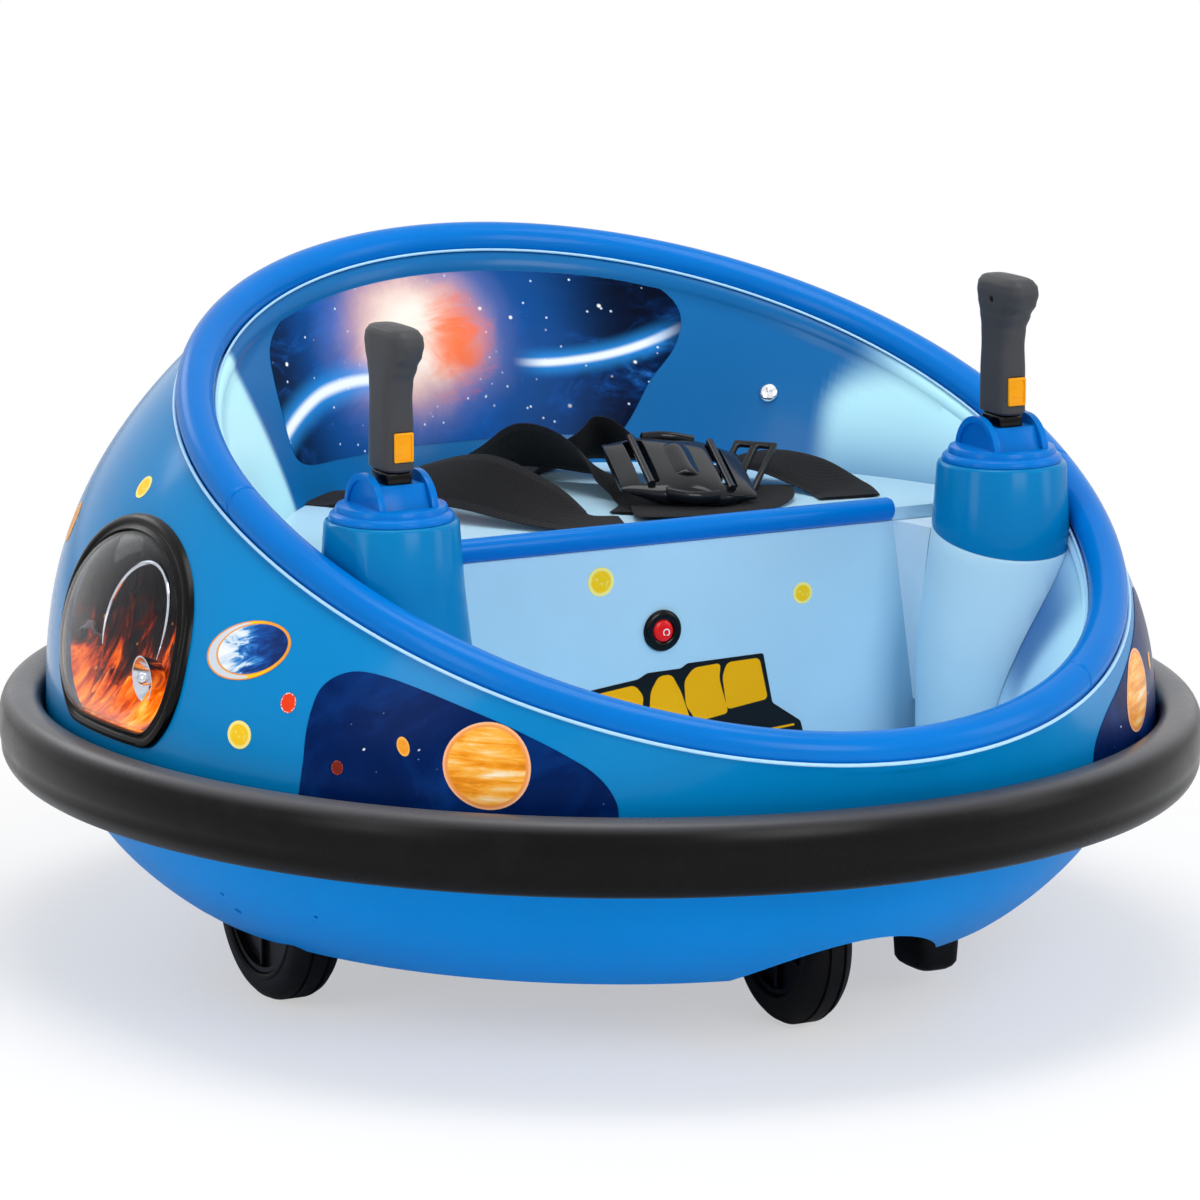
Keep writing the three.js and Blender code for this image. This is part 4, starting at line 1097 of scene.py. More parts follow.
@dataclass
class HeadLamp:
    """One headlamp: gasket, clear dome, bowl with a painted glow and its flutes, and small chrome parts."""

    x: float = 2.0
    height: float = 205.0
    half_length: float = 74.0
    half_height: float = 63.0
    sill: float = -51.5
    lean: float = 0.15
    inner: float = 0.873
    steps: int = 96
    dome_rise: float = 12.0
    skin: float = 2.2                 # the bowl's thickness
    arc_middle: tuple[float, float] = (4.0, 208.0)
    arc_radius: tuple[float, float] = (34.0, 36.0)
    bulb: Point = (24.0, 186.0, 20.0)                    # its X, height and depth
    flutes: int = 9

    @property
    def mouth(self) -> float:
        """The size of the dome's and the bowl's edge."""
        return self.inner - 0.012

    def outline(self, angle: float, size: float) -> tuple[float, float]:
        """A point of the lamp's outline, size 1 being the gasket's outside."""
        rise = size * self.half_height * signed_power(sin(angle), 0.9)
        sill = self.sill + (1 - size) * self.half_height
        over = rise - sill
        z = sill + (over + math.sqrt(over * over + 9.0)) / 2 if over < 12 else rise
        return self.x + size * self.half_length * cos(angle) - self.lean * z, self.height + z

    def place(self, angle: float, size: float, out: float, side: Side) -> Point:
        """A point over the flank at the lamp's outline, moved out along Y."""
        x, z = self.outline(angle, size)
        turn, up = LAYOUT.flank_at(x, z, side)
        point = LAYOUT.flank_point(turn, up)
        return x, point[1] + side.value * out, z

    def loop(self, size: float, out: float, side: Side) -> Loop:
        """A loop round the lamp."""
        return [self.place(a, size, out, side) for a in angles(self.steps)]

    def section_ring(self, name: str, section: Outline, side: Side) -> Piece:
        """A closed section of size and height swept round the outline."""
        loops = [[self.place(a, size, out, side) for size, out in section] for a in angles(self.steps)]
        return loft(name, loops, ring=True)

    def opening(self, side: Side) -> Piece:
        """The cutter that opens the flank."""
        size = self.inner + 0.03
        outline = [self.outline(a, size) for a in angles(self.steps)]
        return loft("opening", [[(x, side.value * y, z) for x, z in outline] for y in (232.5, 330.0)])

    def build(self, side: Side, finishes: Finishes) -> None:
        """Makes the lamp on one side."""
        label, inner = side.label, self.inner
        gasket = self.section_ring(f"lamp_gasket_{label}", [
            (1.0, 0.4), (0.998, 2.0), (0.985, 3.6), (0.955, 4.1), (0.93, 3.3), (0.92, 2.6),
            (0.905, 2.7), (0.885, 3.4), (inner + 0.002, 3.0), (inner, 0.6)], side)
        Shop.deliver(gasket, finishes.gasket, "body", "black_plastic", [f"headlamp_bezel_{label}"], 40.0)

        edge = self.mouth
        loops = [self.loop(edge, 0.5, side)]
        for size in (edge * cos(t) for t in spread(15, 0.0, pi / 2 * 0.985)):
            rise = self.dome_rise * math.sqrt(max(0.0, 1 - (size / edge) ** 2))
            loops.append(self.loop(size, 2.8 + rise, side))
        lens = loft(f"lamp_lens_{label}", loops[::-1])
        with_bmesh(lens, lambda bm: bmesh.ops.delete(bm, geom=[max(
            bm.faces, key=lambda f: (len(f.verts), f.calc_area()))], context="FACES_ONLY"))
        modifier(lens, "SOLIDIFY", thickness=1.6 * MM, offset=-1)
        Shop.deliver(lens, finishes.lens, "body", "clear_lens", [f"headlamp_lens_{label}"], 50.0)
        self.bowl(side, finishes)
        self.inner_parts(side, finishes)

    def bowl(self, side: Side, finishes: Finishes) -> None:
        """The lamp's dished bowl, which carries the fire colours and their painted glow, as a skin that
        narrows inwards.
        """
        shape = [(self.mouth * share, out) for share, out in (
            (1.0, -0.8), (0.97, -4.0), (0.9, -9.0), (0.78, -15.0), (0.6, -20.0), (0.4, -24.0),
            (0.18, -26.0), (0.02, -26.6))]
        front = [self.loop(size, out, side) for size, out in shape]
        back = [self.loop(size, out - self.skin, side) for size, out in reversed(shape)]
        bowl = loft(f"lamp_bowl_{side.label}", front + back, ring=True)
        self.mark(bowl, side)
        Shop.deliver(bowl, finishes.glow, "body", "black_plastic",
                     [f"headlamp_housing_{side.label}"], 50.0)

    def mark(self, piece: Piece, side: Side, drop: float = 0.0) -> None:
        """Keeps the lamp's own coordinates on a piece's points, lowered by a drop."""
        store(piece, "lamp_place", [
            ((v.co.x / MM - self.x) / self.half_length * -side.value,
             (v.co.z / MM - self.height) / self.half_height - drop, 0.0) for v in piece.data.vertices])

    def inner_parts(self, side: Side, finishes: Finishes) -> None:
        """A bright arc, a bulb with its chromed cup and a row of flutes."""
        label, sign = side.label, side.value
        def at(x: float, z: float, deep: float) -> Point:
            """The point at a depth behind the flank."""
            turn, up = LAYOUT.flank_at(x, z, side)
            return x, LAYOUT.flank_point(turn, up)[1] - sign * deep, z
        arc = []
        for share in spread(40):
            turn = radians(200 - 215 * share)
            middle = at(self.arc_middle[0] + self.arc_radius[0] * cos(turn),
                        self.arc_middle[1] + self.arc_radius[1] * sin(turn), 9.0)
            size = 0.35 + 1.05 * sin(pi * share) ** 0.7
            arc.append([(middle[0] + size * cos(turn) * cos(a), middle[1] + size * sin(a),
                         middle[2] + size * sin(turn) * cos(a)) for a in angles(10)])
        Shop.deliver(loft(f"lamp_arc_{label}", arc), finishes.bright, "body", "steel_axle")
        cup = lathe(f"lamp_bulb_cup_{label}", [
            (0, 0), (8.5, 0), (11.5, sign * 6), (12.5, sign * 10), (11.6, sign * 10),
            (7.6, sign * 2.2), (4.2, sign * 1.6), (4.0, sign * 9.5), (2.4, sign * 11.6),
            (0, sign * 12.4)], 40, at(*self.bulb), Axis.Y)
        Shop.deliver(cup, finishes.bright, "body", "steel_axle", smooth=50.0)
        flutes = []
        for k in range(self.flutes):
            x = -34 + k * 8.6
            foot, head = at(x, 160.0, 4.5), at(x + 1.5, 178.0 + 5 * sin(k * 1.9), 15.0)
            rows = []
            for share in spread(6):
                middle = mixed(foot, head, share)
                size = 3.6 * (1 - 0.55 * share)
                rows.append([(middle[0] + size * cos(a), middle[1] + 0.9 * size * sin(a),
                              middle[2]) for a in angles(12)])
            flutes.append(loft("flute", rows))
        row = joined(f"lamp_flutes_{label}", flutes)
        self.mark(row, side, 0.12)
        Shop.deliver(row, finishes.glow, "body", "amber_button")


@dataclass
class UpperShell:
    """The flank that rises from the ring to the rim, open for both lamps."""

    rows: int = 30

    def build(self, finishes: Finishes, lamps: HeadLamp) -> None:
        """Makes the shell."""
        out, down = LAYOUT.inner_edge
        loops = []
        for angle in angles(BODY_STEPS):
            outside = [LAYOUT.flank_point(angle, up) for up in spread(self.rows)]
            crown = Vector(outside[-1])
            inner_top = Vector(LAYOUT.rim_point(angle, out, -down))
            base = LAYOUT.base_point(angle, LAYOUT.wall, LAYOUT.ring_height + LAYOUT.gap / 2)
            inside = []
            for up in spread(self.rows):
                lean = up ** LAYOUT.flank_bulge
                inside.append((base[0] + (inner_top.x - base[0]) * lean,
                               base[1] + (inner_top.y - base[1]) * lean,
                               base[2] + (inner_top.z - base[2]) * up))
            normal = Vector((cos(angle), sin(angle), 0))
            bead = [tuple(crown + normal * 0.3 + Vector((0, 0, 0.6))),
                    tuple((crown * 2 + inner_top) / 3 + Vector((0, 0, 0.45)))]
            loops.append(outside + bead + inside[::-1])
        shell = loft("shell", loops, ring=True)
        for side in Side:
            cut(shell, lamps.opening(side))
        Shop.deliver(shell, finishes.body, "body", "body_blue", ["upper_shell"], 40.0)
        # pale beads whose colour paints the highlight lines beside the trim
        self.bead("shell_bead", 11.3, -4.8, 1.0, finishes)
        self.bead("liner_bead", -11.5, -4.3, 0.8, finishes)

    @staticmethod
    def bead(name: str, outward: float, up: float, radius: float, finishes: Finishes) -> None:
        """A fine bead that follows the rim beside its trim, its pale colour a painted highlight line."""
        loops = [[LAYOUT.rim_point(angle, outward + radius * cos(a), up + radius * sin(a))
                  for a in angles(10)] for angle in angles(BODY_STEPS)]
        Shop.deliver(loft(name, loops, ring=True), finishes.bead, "body", "pale_blue", smooth=60.0)


@dataclass
class BumperRing:
    """The black ring: a full round upper lobe over a flatter lower band, with a soft crease."""

    sides: int = 48
    square: float = 0.75              # the section's power: 1 is an oval, 0 a rectangle
    crease_up: float = -0.34
    crease_deep: float = 0.1
    crease_tall: float = 0.13

    def build(self, finishes: Finishes) -> None:
        """Makes the ring."""
        half_tall, thick = LAYOUT.ring_tall / 2, LAYOUT.ring_thick
        section = []
        for a in angles(self.sides):
            out, up = signed_power(cos(a), self.square), signed_power(sin(a), self.square)
            dent = self.crease_deep * math.exp(-((up - self.crease_up) / self.crease_tall) ** 2)
            out -= dent if out > 0.3 else 0.0
            if up < self.crease_up and out > 0:
                out *= 0.985
            section.append((thick / 2 * (1 + out), half_tall * up))
        length, width = LAYOUT.ring_half_length - thick, LAYOUT.ring_half_width - thick
        loops = []
        for angle in angles(BODY_STEPS):
            normal = Vector((cos(angle) / length, sin(angle) / width)).normalized()
            loops.append([(length * cos(angle) + normal.x * out, width * sin(angle) + normal.y * out,
                           LAYOUT.ring_height + up) for out, up in section])
        Shop.deliver(loft("bumper", loops, ring=True), finishes.bumper, "body", "bumper_rubber",
                     ["bumper_ring"], 60.0)


@dataclass
class RimTrim:
    """The deep blue trim tube in three lengths that meet at fine seams."""

    seams: tuple[float, ...] = (-89.0, 31.0, 81.0, 271.0)
    names: tuple[str, ...] = ("rim_trim_front", "rim_trim_left", "rim_trim_rear")
    sides: int = 32
    chamfer: float = 0.9
    pitch: float = 1.5                # degrees from loop to loop

    def build(self, finishes: Finishes) -> None:
        """Makes the three lengths."""
        half = math.degrees(LAYOUT.gap / 2 / LAYOUT.rim_half_width)
        lead = math.degrees(self.chamfer / LAYOUT.rim_half_width)
        narrow = 1 - self.chamfer / LAYOUT.tube
        for name, start, stop in zip(self.names, self.seams, self.seams[1:]):
            start, stop = start + half, stop - half
            count = int((stop - start) / self.pitch)
            stations = [(start, narrow), (start + lead, 1.0)]
            stations += [(d, 1.0) for d in spread(count, start + 2 * lead, stop - 2 * lead)]
            stations += [(stop - lead, 1.0), (stop, narrow)]
            loops = [[LAYOUT.rim_point(radians(d), LAYOUT.tube * size * cos(a),
                                       LAYOUT.tube * size * sin(a))
                      for a in angles(self.sides)] for d, size in stations]
            Shop.deliver(loft(name.replace("rim_", ""), loops), finishes.deep, "body",
                         "deep_blue", [name], 40.0)


@dataclass
class Cockpit:
    """The liner tub with its lip, the seat and apron, and the roll along the seat's front."""

    rows: int = 36
    roll_half_length: float = 146.0
    roll_radius: float = 6.5
    floor_thick: float = 3.0
    seam_left: float = 121.0          # where the liner's two tones meet, in degrees
    seam_right: float = -131.0
    patch: tuple[float, float] = (63.0, 0.63)            # the painted shade patch, in degrees and share up
    patch_size: tuple[float, float] = (8.0, 0.26)

    def liner(self, finishes: Finishes) -> None:
        """The tub's wall and floor, with the tones kept on its points."""
        loops, tones = [], []
        for angle in angles(2 * BODY_STEPS):
            inside = [LAYOUT.tub_point(angle, up) for up in spread(self.rows, 0.0, 0.955)]
            for up, inward in ((0.962, 0.9), (0.975, 2.2), (0.99, 2.4), (1.0, 1.6)):
                inside.append(LAYOUT.tub_point(angle, up, inward))
            top = LAYOUT.rim_point(angle, -LAYOUT.inner_edge[0], -LAYOUT.inner_edge[1])
            foot = LAYOUT.two_part_oval(angle, LAYOUT.tub_x, LAYOUT.tub_front, LAYOUT.tub_rear,
                                        LAYOUT.tub_half_width, LAYOUT.wall)
            outside = []
            for up in spread(self.rows):
                lean = up ** LAYOUT.tub_flare
                low = LAYOUT.tub_floor - self.floor_thick
                outside.append((foot[0] + (top[0] - foot[0]) * lean,
                                foot[1] + (top[1] - foot[1]) * lean, low + (top[2] - low) * up))
            loops.append(inside + outside[::-1])
            tones += [self.tone(angle, z) for _, _, z in loops[-1]]
        tub = loft("tub", loops, ring=True)
        rows, columns = len(loops), len(loops[0])
        def fill(bm: bmesh.types.BMesh) -> None:
            """Closes the tub's floor and takes out the wall between its two skins' feet."""
            bm.verts.ensure_lookup_table()
            for j in (0, columns - 1):
                bm.faces.new([bm.verts[i * columns + j] for i in range(rows)])
            inner = [e for e in bm.edges if {v.index % columns for v in e.verts} == {0, columns - 1}]
            bmesh.ops.delete(bm, geom=list({f for e in inner for f in e.link_faces
                                            if len(f.verts) == 4}), context="FACES_ONLY")
            bmesh.ops.recalc_face_normals(bm, faces=bm.faces)
        with_bmesh(tub, fill)
        store(tub, "liner_tone", tones)
        Shop.deliver(tub, finishes.liner, "body", "body_blue", ["cockpit_tub"], 40.0)

    def tone(self, angle: float, z: float) -> Point:
        """The liner's paleness, its painted highlight towards white and its painted shade at an angle and a
        height.
        """
        degrees = math.degrees(math.atan2(sin(angle), cos(angle)))
        top = LAYOUT.rim_point(angle)[2]
        share = (z - LAYOUT.tub_floor) / (top - LAYOUT.tub_floor)
        if degrees >= 0:
            bend = self.seam_left - 9 * smooth_step(0.72, 0.97, share) ** 2
            soft = 2.6 + 5.0 * smooth_step(0.8, 0.97, share)
            front = 1 - smooth_step(bend - soft, bend + soft, degrees)
            fade = max(smooth_step(236, 296, z), 1 - smooth_step(84, 92, degrees))
            pale = front * (0.35 + 0.65 * fade)
            # painted highlight near the top of the left wall
            lift = front * smooth_step(60, 100, degrees) * smooth_step(235, 300, z) * 0.75
            lift = max(lift, 0.5 * (1 - smooth_step(52, 70, degrees)) * smooth_step(0.6, 0.96, share))
        else:
            pale = smooth_step(self.seam_right, self.seam_right + 2.4, degrees)
            # painted highlight near the top of the right wall
            lift = pale * 0.85 * smooth_step(225, 260, z)
        # painted shade patch on the left wall
        off = ((degrees - self.patch[0]) / self.patch_size[0],
               (share - self.patch[1]) / self.patch_size[1])
        return pale, lift, 0.9 * math.exp(-off[0] ** 4 - off[1] ** 4)

    def build(self, finishes: Finishes) -> None:
        """Makes the liner, the seat, the apron and the roll."""
        self.liner(finishes)
        pan = self.slice("seat", 245.0, LAYOUT.seat_top, -400.0, 66.7)
        shelf = self.slice("shelf", 241.9, LAYOUT.seat_top, 60.0, LAYOUT.seat_front)
        half = self.roll_half_length + 0.3
        cut(shelf, outline_prism("between", rectangle(-99, -half, 99, half), 200, 300))
        cut(pan, shelf, "UNION")
        softened(pan, 0.5, 2)
        Shop.deliver(pan, finishes.pale, "body", "pale_blue", ["seat_pan"])
        self.apron(finishes)
        radius, half = self.roll_radius, self.roll_half_length
        end = [(radius, half - 2.6), (radius - 0.8, half - 0.8), (radius - 2.6, half), (0, half)]
        profile = [(across, -along) for across, along in reversed(end)] + end
        roll = lathe("seat_roll", profile, 40,
                     (LAYOUT.seat_front - 0.5, 0, LAYOUT.seat_top - 0.5), Axis.Y)
        Shop.deliver(roll, finishes.deep, "body", "deep_blue", ["seat_edge_roll"], 40.0)

    def room_loop(self, z: float) -> Loop:
        """The tub's inside at a height, a gap inside its wall."""
        loop = []
        for angle in angles(BODY_STEPS):
            up = min(LAYOUT.tub_height(angle, z), 1.0)
            loop.append(LAYOUT.tub_point(angle, up, LAYOUT.gap)[:2] + (z,))
        return loop

    def slice(self, name: str, low: float, high: float, back: float, front: float,
              rows: int = 2) -> Piece:
        """What fills the tub between two heights and two stations along X."""
        block = loft(name, [self.room_loop(z) for z in spread(rows, low, high)])
        tool = outline_prism("tool", rectangle(back, -400, front, 400), low - 20, high + 20)
        return cut(block, tool, "INTERSECT")

    def apron(self, finishes: Finishes) -> None:
        """The board under the seat's front edge."""
        front = LAYOUT.seat_front
        board = self.slice("apron", LAYOUT.tub_floor + LAYOUT.gap, LAYOUT.seat_top - 7.3,
                           front - LAYOUT.wall, front, 24)
        softened(board, 0.6, 2, 50.0)
        Shop.deliver(board, finishes.pale, "body", "pale_blue", ["seat_apron"])


@dataclass
class ControlPod:
    """One pod beside the driver's knees, with its pedestal and the wedge that joins it to the apron."""

    steps: int = 80
    slope: float = 0.25
    flare: float = 46.4
    waist: float = 38.25              # the post's radius where its flared foot ends
    waist_drop: float = 35.0
    foot_slope: float = 0.115

    def profile(self, inset: float, top: float) -> Outline:
        """The post's radius at each height, from its foot to its top."""
        bend = LAYOUT.pod_top - self.waist_drop
        stop = bend - (self.flare - self.waist) / self.foot_slope
        foot = LAYOUT.tub_floor + LAYOUT.gap
        crown = 35.8 + (LAYOUT.pod_top - top) * 0.07
        rows = [(0.0, foot - inset), (self.flare - inset, foot - inset), (self.flare - inset, stop)]
        rows += [(self.flare + (self.waist - self.flare) * s - inset, stop + (bend - stop) * s)
                 for s in (0.25, 0.5, 0.75)]
        rows += [(self.waist - inset, bend), (crown + 0.12 - inset, top - 2.0)]
        rows += [(crown - 0.5 - inset, top - 0.7), (crown - 1.6 - inset, top), (0.0, top)]
        return rows

    def parting(self, depth: float, above: bool, place: Point) -> Piece:
        """The cutter over, or under, the sloping parting line."""
        shift = 200.0 if above else -200.0 - LAYOUT.gap
        box = outline_prism("parting", rectangle(-200, -200, 200, 200), -200, 200)
        spin(box, Matrix.Translation(Vector((place[0], place[1], LAYOUT.pod_top - depth)) * MM)
             @ Matrix.Rotation(math.atan(self.slope), 4, "Y")
             @ Matrix.Translation(Vector((0, 0, shift)) * MM))
        return box

    def build(self, side: Side, cockpit: Cockpit, finishes: Finishes) -> None:
        """Makes the pod on one side."""
        label = side.label
        place = (LAYOUT.pod_x, side.value * LAYOUT.pod_y, 0.0)
        depth = 40.0 if side is Side.LEFT else 76.0
        for above in (True, False):
            name = f"pod_{label}" if above else f"pedestal_{label}"
            post = lathe(name, self.profile(0.0, LAYOUT.pod_top), self.steps, place)
            cut(post, lathe("hollow", self.profile(LAYOUT.wall, LAYOUT.pod_top - LAYOUT.wall),
                            self.steps, place))
            room = loft("room", [cockpit.room_loop(z)
                                 for z in spread(30, LAYOUT.tub_floor + LAYOUT.gap, 205.0)]
                        + [[self.clip(a, z) for a in angles(BODY_STEPS)]
                           for z in spread(16, 210.0, 300.0)])
            cut(post, room, "INTERSECT")
            cut(post, self.parting(depth, above, place), "INTERSECT")
            if above:
                (x, y), (long, wide) = place[:2], LAYOUT.stick_well
                cut(post, outline_prism("hole", rectangle(x - long, y - wide, x + long, y + wide),
                                        270, 290))
            softened(post, 0.5, 2, 40.0)
            Shop.deliver(post, finishes.pod if above else finishes.pale, "body",
                         "body_blue" if above else "pale_blue",
                         [f"console_pod_{label}" if above else f"pod_pedestal_{label}"], 35.0)
        self.web(side, finishes)

    def web(self, side: Side, finishes: Finishes) -> None:
        """The narrow wedge of wall that joins the apron to the pedestal, paler than the apron as a painted
        highlight.
        """
        loops = []
        for share in spread(28):
            z = 139.0 + (LAYOUT.seat_top - 7.4 - 139.0) * share
            over = LAYOUT.pod_top - self.waist_drop - z
            radius = min(self.flare, self.waist + self.foot_slope * over) + 0.25
            start = 161.0 - 14.2 * share
            turn = radians(28 + 34 * share)
            end = (LAYOUT.pod_x - radius * cos(turn), LAYOUT.pod_y - radius * sin(turn))
            bend = (LAYOUT.seat_front + 2.5 + 4 * share, start + 4.0 * share + 1)
            loop = []
            for t in spread(10):
                a = mixed((LAYOUT.seat_front + 0.05, start), bend, t)
                b = mixed(bend, end, t)
                loop.append(mixed(a, b, t))
            loop += [(LAYOUT.seat_front + 9, 176.0), (LAYOUT.seat_front + 0.05, 174.0)]
            loops.append([(x, side.value * y, z) for x, y in loop])
        # painted highlight: the wedge takes the paler web finish
        Shop.deliver(loft(f"pod_web_{side.label}", loops), finishes.web, "body", "pale_blue",
                     smooth=40.0)

    @staticmethod
    def clip(angle: float, z: float) -> Point:
        """The tub's inside at a height, or the clearance inside the trim tube above it."""
        up = LAYOUT.tub_height(angle, z)
        if up < 1:
            return LAYOUT.tub_point(angle, up, LAYOUT.gap)[:2] + (z,)
        return LAYOUT.rim_point(angle, -(LAYOUT.tube + 0.9))[:2] + (z,)


@dataclass
class Joystick:
    """A tilting joystick in its base: flange, cheeks, drum, neck, grip and button."""

    axis_height: float = 284.0
    foot: float = 22.6
    grip_height: float = 77.0
    grip_sides: int = 56
    cheek: tuple[float, float] = (13.5, 17.3)            # its faces, out from the middle
    pin_radius: float = 3.0

    @property
    def grip_top(self) -> float:
        """The height of the grip's top."""
        return self.axis_height + self.foot + self.grip_height

    def pivot(self, side: Side) -> Point:
        """The middle of the axis that the stick tilts about."""
        return LAYOUT.pod_x, side.value * LAYOUT.pod_y, self.axis_height

    def base(self, side: Side, finishes: Finishes) -> None:
        """The stepped flange with its two half-round cheeks and their raised rims."""
        axis = self.pivot(side)
        place = (*axis[:2], 0.0)
        long, wide = LAYOUT.stick_well
        seat = LAYOUT.pod_top + LAYOUT.gap
        flange = lathe("flange", [
            (0, seat), (33.3, seat), (33.3, seat + 1.2), (32.9, seat + 2.6), (31.8, seat + 3.7),
            (30.4, seat + 4.0), (29.9, seat + 4.3), (29.7, seat + 6.4), (29.0, seat + 7.6),
            (27.6, seat + 8.0), (0, seat + 8.0)], 80, place)
        cut(flange, rounded_box("slot", (-long, -wide, seat - 1), (long, wide, seat + 12), 0.6,
                                place=place))
        parts = [flange]
        inner, outer = self.cheek
        for face in (1, -1):
            cheek = self.arch(long, sorted((face * inner, face * outer)), axis)
            cut(cheek, self.arch(17.6, sorted((face * (outer - 1.3), face * (outer + 2))), axis))
            cut(cheek, rod("bore", self.pin_radius + LAYOUT.gap, -15.8, 15.8, 32, axis, Axis.Y))
            parts.append(softened(cheek, 0.8, 3, 35.0))
        Shop.deliver(joined(f"joystick_base_{side.label}", parts), finishes.deep, "body",
                     "deep_blue", [f"stick_base_{side.label}"], 38.0)

    @staticmethod
    def arch(radius: float, faces: Sequence[float], axis: Point) -> Piece:
        """A half round on a short foot, between two faces along Y."""
        outline = [(radius * cos(a), radius * sin(a)) for a in spread(41, 0.0, pi)]
        outline += [(-radius, -2.6), (radius, -2.6)]
        return outline_prism("arch", outline, *faces, Axis.Y, axis)

    def drum(self, side: Side, finishes: Finishes) -> None:
        """The saddle that tilts between the cheeks."""
        outline = [(-19.2, -1), (19.2, -1), (19.2, 3.5), (12.6, 15.8), (-12.6, 15.8), (-19.2, 3.5)]
        place = self.pivot(side)
        drum = outline_prism(f"joystick_saddle_{side.label}", outline, -13.2, 13.2, Axis.Y, place)
        cut(drum, rounded_box("pocket", (-10.4, -7.9, 12.6), (10.4, 7.9, 30), 1.6, place=place))
        softened(drum, 1.1, 3, 30.0)
        cut(drum, rod("pin", self.pin_radius, -15.5, 15.5, 32, place, Axis.Y), "UNION")
        Shop.deliver(drum, finishes.deep, f"joystick_{side.label}", "deep_blue",
                     [f"stick_drum_{side.label}"], 38.0)

    @staticmethod
    def profile(share: float) -> Point:
        """The grip's back, front and half width at a share of its height."""
        keys = ((0.0, -14.5, 14.5, 9.0), (0.3, -14.4, 14.4, 8.8), (0.5, -13.9, 13.8, 8.4),
                (0.62, -14.2, 15.0, 8.6), (0.72, -15.4, 19.2, 9.2), (0.81, -17.4, 24.8, 9.8),
                (0.88, -18.4, 27.0, 10.0), (0.94, -17.8, 26.4, 9.6), (0.98, -15.0, 22.6, 8.0),
                (1.0, -10.0, 16.0, 5.4))
        for (s0, *a), (s1, *b) in zip(keys, keys[1:]):
            if share <= s1:
                t = (share - s0) / (s1 - s0)
                return mixed(a, b, t * t * (3 - 2 * t) if s0 < 0.9 else t)
        return keys[-1][1:]

    def grip(self, side: Side, finishes: Finishes) -> None:
        """The rounded grip whose head leans forward, with a finger-smoothed waist."""
        x0, y0, _ = self.pivot(side)
        foot, top, sweep = self.axis_height + self.foot, self.grip_top, 2 / 3.5
        crown = top - 0.8
        loops = []
        for share in [0.0, 0.006, 0.016] + spread(42, 0.03, 0.9) + spread(9, 0.91, 1.0):
            back, front, width = self.profile(share)
            tuck = 1.4 * (1 - smooth_step(0.0, 0.016, share))
            half, middle = (front - back) / 2 - tuck, (front + back) / 2
            z = foot + self.grip_height * share
            z = min(z, crown + 0.02 * (z - top))
            loops.append([(x0 + middle + half * signed_power(cos(a), sweep),
                           y0 + (width - tuck) * signed_power(sin(a), sweep), z)
                          for a in angles(self.grip_sides)])
        rim = loops[-1]
        centre = [sum(c) / self.grip_sides for c in zip(*rim)]
        for size, rise in ((0.72, 0.5), (0.4, 0.75), (0.12, 0.8)):
            loops.append([(*mixed(centre[:2], p[:2], size), crown + rise) for p in rim])
        grip = loft(f"joystick_grip_{side.label}", loops)
        face, low = x0 + 14.5, foot + 5.5
        cut(grip, rounded_box("pocket", (-0.9, -6.1, -0.6), (3, 6.1, 16.3), 1.2, place=(face, y0, low)))
        if side is Side.LEFT:
            cut(grip, rod("screw_hole", 1.9, -2, 3, 24, (x0 + 3.0, y0 - 9.0, top - 13.0), Axis.Y))
        Shop.deliver(grip, finishes.grip, f"joystick_{side.label}", "grey_grip",
                     [f"stick_handle_{side.label}"], 45.0)
        self.button(side, (face, y0, low), finishes)

    @staticmethod
    def button(side: Side, place: Point, finishes: Finishes) -> None:
        """The thumb button: a plate in a raised rim, with two bars across it."""
        plate = rounded_box("plate", (-0.8, -5.5, 0), (1.0, 5.5, 15.7), 1.1, place=place)
        rim = rounded_box("rim", (-0.2, -5.5, 0), (1.6, 5.5, 15.7), 1.2, place=place)
        cut(rim, rounded_box("well", (-2, -4.2, 1.3), (3, 4.2, 14.4), 1.0, place=place))
        bars = [rounded_box("bar", (0.9, -2.2, z - 0.5), (1.3, 2.2, z + 0.5), 0.15, 1, place)
                for z in (10.6, 5.0)]
        piece = joined(f"thumb_button_{side.label}", [plate, rim, *bars])
        Shop.deliver(piece, finishes.amber, f"joystick_{side.label}", "amber_button",
                     [f"stick_button_{side.label}"])

    def build(self, side: Side, finishes: Finishes) -> None:
        """Makes one joystick."""
        self.base(side, finishes)
        self.drum(side, finishes)
        self.grip(side, finishes)
        neck = rounded_box(f"joystick_neck_{side.label}", (-10, -7.5, 12.8), (10, 7.5, 22.3), 1.6,
                           place=self.pivot(side))
        Shop.deliver(neck, finishes.gloss_black, f"joystick_{side.label}", "black_plastic",
                     [f"stick_neck_{side.label}"])


